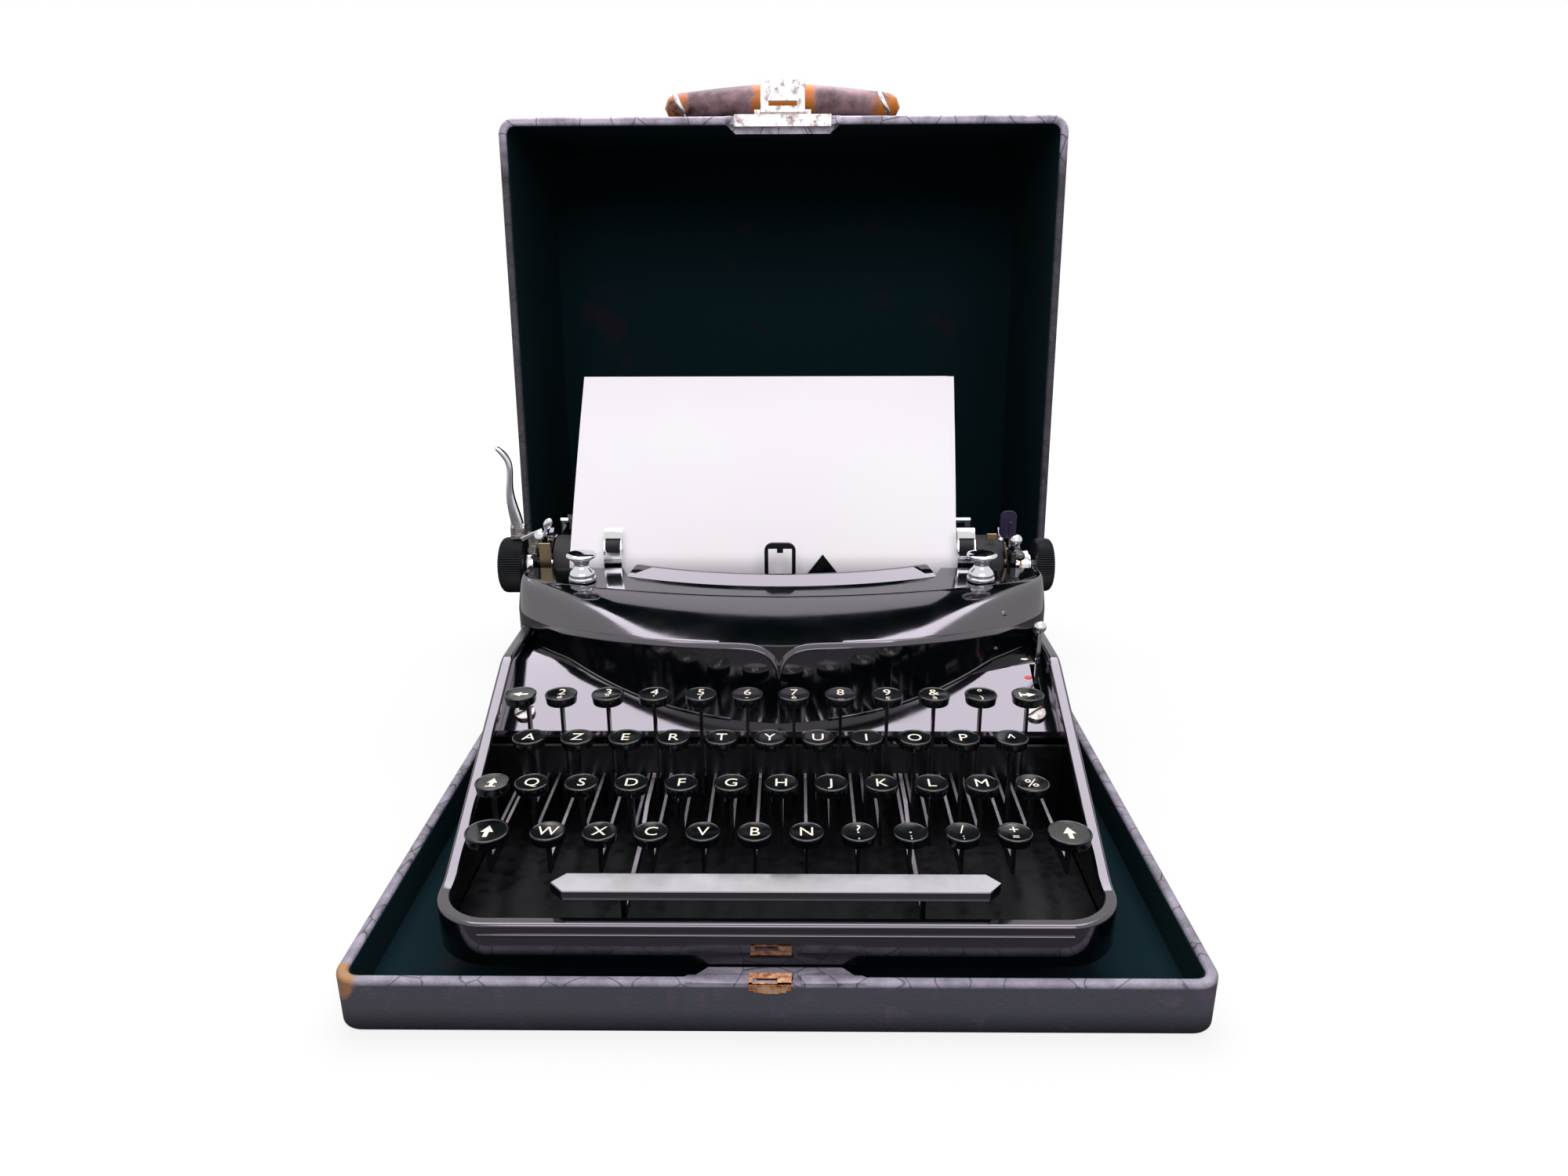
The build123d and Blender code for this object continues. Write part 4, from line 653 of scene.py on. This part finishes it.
# Node, first key's place, row's place, top, cap radius and what the caps carry
key_rows = (
    ("number_keys", 6.24 - 5 * pitch, -43.2, 80.3, 6.6, [*zip("23456789&°", "é\"'(-è_çà)")]),
    ("top_row_keys", -3.285 - 5 * pitch, -62.2, 70.4, 6.6, "AZERTYUIOP^"),
    ("home_row_keys", 1.48 - 5 * pitch, -81.2, 60.9, 6.6, "QSDFGHJKLM%"),
    ("bottom_row_keys", 11.0 - 5 * pitch, -100.1, 51.2, 6.6, [*"WXCVBN", *zip("?./+", ",;:=")]),
    ("backspace_key", -105.8, -43.2, 80.3, 6.6, [arrow(90)]),
    ("margin_release_key", 101.5, -43.2, 80.3, 6.6, [arrow(-90, barred=True)]),
    ("shift_lock_key", -108.9, -81.2, 60.9, 6.6, [arrow(0, barred=True)]),
    ("left_shift_key", -106.6, -100.1, 51.2, 8.2, [arrow(0, size=1.2)]),
    ("right_shift_key", 107.2, -100.1, 51.2, 8.2, [arrow(0, size=1.2)]),
)
for node_name, first, row, top, radius, marks in key_rows:
    levers = cut_above(copied(node_name, ease=0), top - cap_high - 0.02)
    piece(node_name + "_levers", levers, lever_steel, node_name, slot="key_steel")
    caps, inlay = bmesh.new(), bmesh.new()
    for count, mark in enumerate(marks):
        x = first + count * pitch
        join(caps, turned(cap(radius), (x, row, top - cap_high), steps=40))
        if isinstance(mark, tuple):
            flats = [lettered(mark[0], 7.0, (0, 1.9)), lettered(mark[1], 5.0, (0, -2.9))]
        elif isinstance(mark, str):
            flats = [lettered(mark, 8.0, (0, 0.1), 0.95)]
        else:
            flats = [mark]
        for flat in flats:
            for vert in flat.vertices:
                vert.co.z = dish(radius, vert.co.xy.length) + 0.03
            flat.transform(Matrix.Translation((x, row, top - cap_high)))
            inlay.from_mesh(flat)
    piece(node_name + "_caps", caps, cap_plastic, beside=node_name, slot="black_plastic")
    bmesh.ops.recalc_face_normals(inlay, faces=inlay.faces)
    for face in inlay.faces:
        if face.normal.z < 0:
            face.normal_flip()
    piece(node_name + "_legends", inlay, cream, beside=node_name, slot="black_plastic")

# Space bar: a bar moulded in black plastic, with pointed ends and a top that slopes to the front. It
# is screwed to two arms of nickelled steel.
bar_foot, top_slope, bar_back = 40.45, 0.09, -118
arms = cut_above(copied("space_bar", ease=0), bar_foot, closed=False)
piece("space_bar_arms", arms, lever_steel, "space_bar", slot="key_steel")
bar = bmesh.new()
bmesh.ops.create_cube(bar, size=1)
bmesh.ops.scale(bar, vec=(148, 10, 4.7), verts=bar.verts)
put(bar, bar.verts, (0, -123, 42.85))
ends = [face for face in bar.faces if abs(face.normal.x) > 0.9]
for end in ends:
    across = [edge for edge in end.edges if abs(edge.verts[0].co.y - edge.verts[1].co.y) > 1]
    cut = bmesh.ops.subdivide_edges(bar, edges=across, cuts=1)["geom_inner"]
    for vert in (item for item in cut if isinstance(item, bmesh.types.BMVert)):
        vert.co.x += 5 if vert.co.x > 0 else -5
for vert in bar.verts:
    if vert.co.z > 45:
        vert.co.z -= top_slope * (bar_back - vert.co.y)
edges = [edge for edge in bar.edges if edge.is_manifold and edge.calc_face_angle() > radians(30)]
eased(bar, edges, 0.45, segments=3)

# Moulded plastic, polished by thumbs: glossier than the caps
bar_plastic, tree, shader, place = finish("bar_plastic_polished", "#0a0c12", Roughness=0.12, IOR=2.0)
rubs = node(tree, "TexNoise", {"Vector": place, "Scale": 60.0, "Detail": 5.0, "Roughness": 0.6})
node(tree, "MapRange", {"Value": rubs, "From Min": 0.35, "From Max": 0.7, "To Min": 0.08, "To Max": 0.2},
     to=shader["Roughness"])
piece("space_bar_moulded", bar, bar_plastic, beside="space_bar", slot="black_plastic")

# Ribbon colour lever: a strip of chromed steel that stands up through a slot of the deck, with a
# turned ball riveted to its end
kept("ribbon_selector", "ball", chrome, ease=0.2)

# Carriage: enamelled frame folded from sheet, platen of hard rubber on a steel shaft. The shaft carries
# turned collars, a brass washer and two knobs moulded with ribs.
platen_y, platen_z = 87.5, 93.4
kept("carriage_frame", "folded", enamel, ease=0.4)
kept("platen_roller", "covered", rubber, ease=0.6)
kept("platen_shaft", "ratchet", chrome, ease=0.15)
shaft_middle = (0, platen_y, platen_z)
collars = turned(((0, -132.2), (8.0, -132.2), (8.4, -131.8), (8.4, -128.3), (8.0, -127.9), (0, -127.9)),
                 shaft_middle, lying=True)
join(collars, turned(((0, 119), (7.8, 119), (8.2, 119.4), (8.2, 126), (7.8, 126.4), (0, 126.4)),
                     shaft_middle, lying=True))
piece("platen_shaft_collars", collars, chrome, beside="platen_shaft")
washer = turned(((0, 121.3), (8.5, 121.3), (8.5, 122.5), (0, 122.5)), shaft_middle, lying=True)
piece("platen_shaft_washer", washer, copper, beside="platen_shaft")

# Moulded plastic, handled: dull black
knob_plastic, tree, shader, place = finish("knob_plastic_moulded", "#080c0e", Roughness=0.5,
                                           Specular_IOR_Level=0.2)
handled = node(tree, "TexNoise", {"Vector": place, "Scale": 140.0, "Detail": 5.0})
node(tree, "MapRange", {"Value": handled, "From Min": 0.35, "From Max": 0.7, "To Min": 0.42, "To Max": 0.65},
     to=shader["Roughness"])
rib_steps = 144
knobs = bmesh.new()
for inner, outer, radius in ((-132.6, -145.6, 14.4), (129.6, 138.9, 13.7)):
    span = abs(outer - inner)
    outline = ((0, 0), (radius - 2.6, 0), (radius - 1.2, 0.3), (radius - 0.4, 1.0), (radius, 2.0),
               (radius, span - 2.6), (radius - 0.5, span - 1.2), (radius - 1.6, span - 0.4),
               (radius - 3.4, span), (radius - 4.2, span), (radius - 4.8, span - 0.7), (0, span - 0.7))
    knob = turned(outline, (0, 0, 0), steps=rib_steps)
    for vert in knob.verts:
        if vert.co.xy.length > radius - 0.6:
            turn = round(Vector((1, 0)).angle_signed(vert.co.xy, 0) * rib_steps / (2 * pi))
            vert.co.xy *= (radius - 0.45) / radius if turn % 2 else 1
    put(knob, knob.verts, (inner, platen_y, platen_z), 90 if outer > inner else -90)
    join(knobs, knob)
piece("platen_knobs_ribbed", knobs, knob_plastic, "platen_knobs", smooth=25)

# Paper table rolled from enamelled sheet, chromed margin rail with its stops, and the two paper
# fingers: spring steel strips with a window, on a rod, each with a rubber roller on a pin
kept("paper_table", "rolled", enamel, ease=0.2)
kept("margin_rail", "stops", chrome, ease=0.4)
finger_middles, finger_half, finger_edge, finger_length = (-84.5, 92.0), 4.4, 0.6, 34.8
rod_y, rod_z = 67.6, 82
curve_y, curve_z, curve_radius = 86.4, 100.8, 19.8


def finger_spot(middle):
    """Where a finger's points lie: up from its rod before the platen, then over the platen's curve."""
    def spot(across, along):
        inner = finger_half - finger_edge
        x = middle + (-finger_half, -inner, inner, finger_half)[round(3 * across)]
        z = rod_z + finger_length * along
        if z < curve_z:
            return Vector((x, rod_y - (z - rod_z) / 18, z))
        return Vector((x, curve_y - sqrt(curve_radius ** 2 - (z - curve_z) ** 2), z))
    return spot


reaches = [vert.co.x * 1000 for vert in frame["nodes"]["paper_fingers"].data.vertices]
left_end, right_end, rod_radius = min(reaches), max(reaches), 1.4
fingers = turned(((0, left_end), (rod_radius, left_end), (rod_radius, right_end), (0, right_end)),
                 (0, rod_y, rod_z), steps=24, lying=True)
for middle in finger_middles:
    strip = surface(3, 42, finger_spot(middle))
    window = [face for face in strip.faces if 104.6 < face.calc_center_median().z < 113
              and abs(face.calc_center_median().x - middle) < 1]
    bmesh.ops.delete(strip, geom=window, context="FACES")
    bmesh.ops.solidify(strip, geom=strip.faces[:], thickness=0.9)
    for x in (finger_edge / 2 - finger_half, finger_half - finger_edge / 2):
        block(strip, (finger_edge, 4.2, 2.6), (middle + x, 71.0, 108.4), ease=0.1)
    join(fingers, strip)
piece("paper_fingers_bent", fingers, chrome, "paper_fingers", smooth=35)
rollers = bmesh.new()
for middle in finger_middles:
    join(rollers, turned(((0, -3.75), (3.5, -3.75), (3.9, -3.35), (3.9, 3.35), (3.5, 3.75), (0, 3.75)),
                         (middle, 72.6, 108.5), steps=40, lying=True))
piece("finger_rollers_rubber", rollers, rubber, "finger_rollers")

# Levers of the carriage, chromed: the forged return lever on its rocking base, a release lever with a
# flattened paddle, one with a ball, and the paper release with its plastic tab
kept("lever_base", "folded", steel, ease=0.25)
# Corners of the blade's path from its tip down: across, height and half width
blade_corners = [Vector(spot) for spot in (
    (-144.0, 155.9, 0.8), (-140.7, 153.1, 1.5), (-137.6, 148.7, 1.4), (-137.3, 143.1, 1.35),
    (-138.5, 135.8, 1.5), (-138.3, 127.5, 2.3), (-136.4, 119, 3.0), (-135.6, 113.5, 3.0),
    (-135.6, 109.5, 2.8))]
blade_y = 86.4


def blade_spot(along, around):
    """A point of the lever's blade, flat in front and behind with rounded edges, closed at both ends."""
    here, ahead = rounded_path(blade_corners, along * 0.99), rounded_path(blade_corners, along * 0.99 + 0.01)
    onward = Vector((ahead.x - here.x, ahead.y - here.y)).normalized()
    closing = sqrt(min(1.0, along / 0.03, (1 - along) / 0.03))
    turn = 2 * pi * around
    wide = here.z * closing * (1 if cos(turn) > 0 else -1) * abs(cos(turn)) ** 0.6
    deep = (1.6 + 0.8 * along) * closing * (1 if sin(turn) > 0 else -1) * abs(sin(turn)) ** 0.6
    return Vector((here.x - onward.y * wide, blade_y + deep, here.y + onward.x * wide))


lever = cut_above(copied("return_lever", ease=0.1), 111)
join(lever, surface(60, 20, blade_spot))
piece("return_lever_forged", lever, chrome, "return_lever", smooth=40)
paddle = cut_above(copied("left_release_lever", ease=0.2), 114.5)
block(paddle, (1.3, 1.3, 5.5), (-118.6, 72.4, 115.6), ease=0.3, turn=25)
tip = bmesh.ops.create_uvsphere(paddle, u_segments=24, v_segments=16, radius=1)["verts"]
bmesh.ops.scale(paddle, vec=(2.0, 0.9, 3.1), verts=tip)
put(paddle, tip, (-117.0, 72.2, 119.8), 30)
piece("left_release_paddle", paddle, chrome, "left_release_lever")
piece("right_release_ball", copied("right_release_lever", ease=0.2), chrome, "right_release_lever")

# Moulded plastic of the tab: dark violet, faintly rubbed
tab_plastic, tree, shader, place = finish("tab_plastic_moulded", "#1e1830", Roughness=0.25)
rubs = node(tree, "TexNoise", {"Vector": place, "Scale": 220.0, "Detail": 4.0})
node(tree, "Mix", {0: rubs, 6: "#171226", 7: "#3a3054"}, to=shader["Base Color"], data_type="RGBA")
piece("paper_release_tab", copied("paper_release_lever", ease=0.5), tab_plastic, "paper_release_lever")

# Pins that the levers turn on, and the small brass plates, chromed pins and strap screwed to the ends
# of the carriage
kept("carriage_pins", "turned", steel, ease=0.15)
plates = bmesh.new()
block(plates, (6.0, 0.8, 15.0), (-118.5, 67.9, 103.5), ease=0.3)
block(plates, (1.0, 6.0, 13.5), (112.6, 74, 103.5), ease=0.3, turn=-12)
block(plates, (5.1, 1.0, 3.4), (106.2, 80, 110.7), ease=0.3)
block(plates, (1.2, 1.0, 8.0), (106.2, 80.5, 105.5), ease=0.3)
piece("carriage_end_plates", plates, brass, beside="carriage_pins")
pins = turned(((0, -2.2), (2.1, -2.2), (2.4, -1.9), (2.4, 1.9), (2.1, 2.2), (0, 2.2)), (0, 0, 0), steps=32)
put(pins, pins.verts, (-121.7, 73, 113.7), 75, "X")
block(pins, (12.2, 1.2, 2.2), (-126.0, 74.5, 113.4), ease=0.4, turn=-24)
for spot, radius in (((-118, 75, 113), 1.4), ((109.4, 73, 111.2), 1.3)):
    ball = bmesh.ops.create_uvsphere(pins, u_segments=16, v_segments=10, radius=radius)["verts"]
    put(pins, ball, spot)
piece("carriage_end_pins", pins, chrome, beside="carriage_pins")

# Paper in the platen: two plain white sheets, one a little to the side of the other, that come up
# round the front of the platen and lean back against the table. It is matt, with a wove fibre.
wrap_length, free_length, wrap_radius, wrap_start, wrap_turn = 17.4, 103.1, 16.1, 202.3, 62.0
free_y, free_z = 75.11, 103.68
paper_left, paper_wide, paper_thick = -107.5, 196, 0.12
paper, tree, shader, place = finish("paper_wove_white", "#f6f4f3", Roughness=0.85, Specular_IOR_Level=0.3)
fibre = node(tree, "TexNoise", {"Vector": place, "Scale": 900.0, "Detail": 6.0, "Roughness": 0.7})
cast = node(tree, "TexNoise", {"Vector": place, "Scale": 12.0, "Detail": 2.0})
node(tree, "Mix", {0: cast, 6: "#f4f1f2", 7: "#fcfbfa"}, to=shader["Base Color"], data_type="RGBA")
node(tree, "Bump", {"Height": fibre, "Strength": 0.12, "Distance": 0.0001}, to=shader["Normal"])


def sheet_spot(shift, behind, first, last):
    """Where the points of a length of a sheet lie: round the platen and then up to the sheet's free end."""
    def spot(across, along):
        run = first + along * (last - first)
        if run < wrap_length:
            turn = radians(wrap_start - wrap_turn * run / wrap_length)
            y, z = platen_y + wrap_radius * cos(turn), platen_z + wrap_radius * sin(turn)
        else:
            up = (run - wrap_length) / free_length
            y, z = free_y + 65.9 * up, free_z + 79.3 * up
            bow = 1.1 * sin(pi * up) * (1 + 0.35 * sin(pi * across))
            y, z = y - 0.77 * bow, z + 0.64 * bow
        lean = shift * max(0.0, run - 30) / 90
        x = paper_left + paper_wide * across + lean
        return Vector((x, y + 0.5 * behind * min(1, run / 25), z - 0.25 * behind))
    return spot


for name, shift, behind in (("front", 0, 0), ("back", 3.6, 1)):
    for part, first, last, rows in (("wrap", 0, wrap_length, 10), ("sheet", wrap_length, 120.5, 50)):
        sheet = surface(24, rows, sheet_spot(shift, behind, first, last))
        bmesh.ops.solidify(sheet, geom=sheet.faces[:], thickness=paper_thick)
        nodes = ("paper_sheet",) if (part, name) == ("sheet", "front") else ()
        made = piece("paper_" + part + "_" + name, sheet, paper, *nodes, beside="paper_sheet", smooth=30)
        if part == "sheet":
            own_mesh(made)

# Camera at the photograph's place and angle, found by fitting the key rows and the edges of the case
# to the picture
pitch_down, turned_left, roll = radians(19.06), radians(-0.71), radians(-0.23)
ahead = Vector((sin(turned_left) * cos(pitch_down), cos(turned_left) * cos(pitch_down), -sin(pitch_down)))
right = ahead.cross(Vector((0, 0, 1))).normalized()
up = right.cross(ahead)
rolled_right = right * cos(roll) + up * sin(roll)
rolled_up = up * cos(roll) - right * sin(roll)
lens = bpy.data.cameras.new("camera")
lens.lens = 24.48
lens.sensor_width = 36
lens.clip_start = 0.01
camera = bpy.data.objects.new("camera", lens)
camera.matrix_world = Matrix.Translation((0.00729, -0.44045, 0.2630)) @ Matrix(
    (rolled_right, rolled_up, -ahead)).transposed().to_4x4()
scene.collection.objects.link(camera)
scene.camera = camera

# Floor: a wide sheet of matt paper that runs out of the picture. Its own light makes it white for the
# camera, and far off for reflections, while near the case it keeps the soft shadow.
floor_paint, tree, shader, place = finish("floor_paper_matt", "#6a6a6a", Roughness=0.9,
                                          Specular_IOR_Level=0.2)
rays = node(tree, "LightPath", {})
away = node(tree, "VectorMath", {0: place}, operation="LENGTH").outputs["Value"]
direct = node(tree, "MapRange", {"Value": away, "From Min": 0.3, "From Max": 1.2, "To Min": 0.82})
mirrored = node(tree, "MapRange", {"Value": away, "From Min": 0.5, "From Max": 1.6})
seen = node(tree, "Math", {0: direct, 1: rays.outputs["Is Camera Ray"]}, operation="MULTIPLY")
caught = node(tree, "Math", {0: mirrored, 1: rays.outputs["Is Glossy Ray"]}, operation="MULTIPLY")
node(tree, "Math", {0: seen, 1: caught}, operation="ADD", to=shader["Emission Strength"])
shader["Emission Color"].default_value = (1, 1, 1, 1)
ground = bmesh.new()
bmesh.ops.create_circle(ground, cap_ends=True, segments=64, radius=6)
mesh = bpy.data.meshes.new("floor")
ground.to_mesh(mesh)
ground.free()
mesh.materials.append(floor_paint)
floor = bpy.data.objects.new("floor", mesh)
scene.collection.objects.link(floor)

# Studio light: a broad ceiling panel behind the case, a weaker one over the camera, and a surround
# that is white where it is seen or mirrored and dim as a light
world = bpy.data.worlds.new("studio")
scene.world = world
world.use_nodes = True
tree = world.node_tree
rays = node(tree, "LightPath", {})
seen = node(tree, "Math", {0: rays.outputs["Is Camera Ray"], 1: rays.outputs["Is Glossy Ray"]},
            operation="MAXIMUM")
shown = node(tree, "Math", {0: seen, 1: rays.outputs["Is Transmission Ray"]}, operation="MAXIMUM")
surround = tree.nodes["Background"].inputs
node(tree, "MapRange", {"Value": shown, "To Min": 0.2}, to=surround["Strength"])
surround["Color"].default_value = (1, 1, 1, 1)
for name, spot, aim, size, power in (
    ("ceiling", (0, 0.575, 1.3), (0, 0.575, 0), (1.4, 1.35), 26),
    ("front", (0.1, -1.3, 1.15), (0, 0.05, 0.1), (1.3, 0.8), 14),
):
    lamp = bpy.data.lights.new(name, "AREA")
    lamp.shape = "RECTANGLE"
    lamp.size, lamp.size_y = size
    lamp.energy = power
    lamp.color = (0.97, 0.92, 1.0)
    made = bpy.data.objects.new(name, lamp)
    made.location = spot
    made.rotation_euler = (Vector(aim) - Vector(spot)).to_track_quat("-Z", "Y").to_euler()
    scene.collection.objects.link(made)
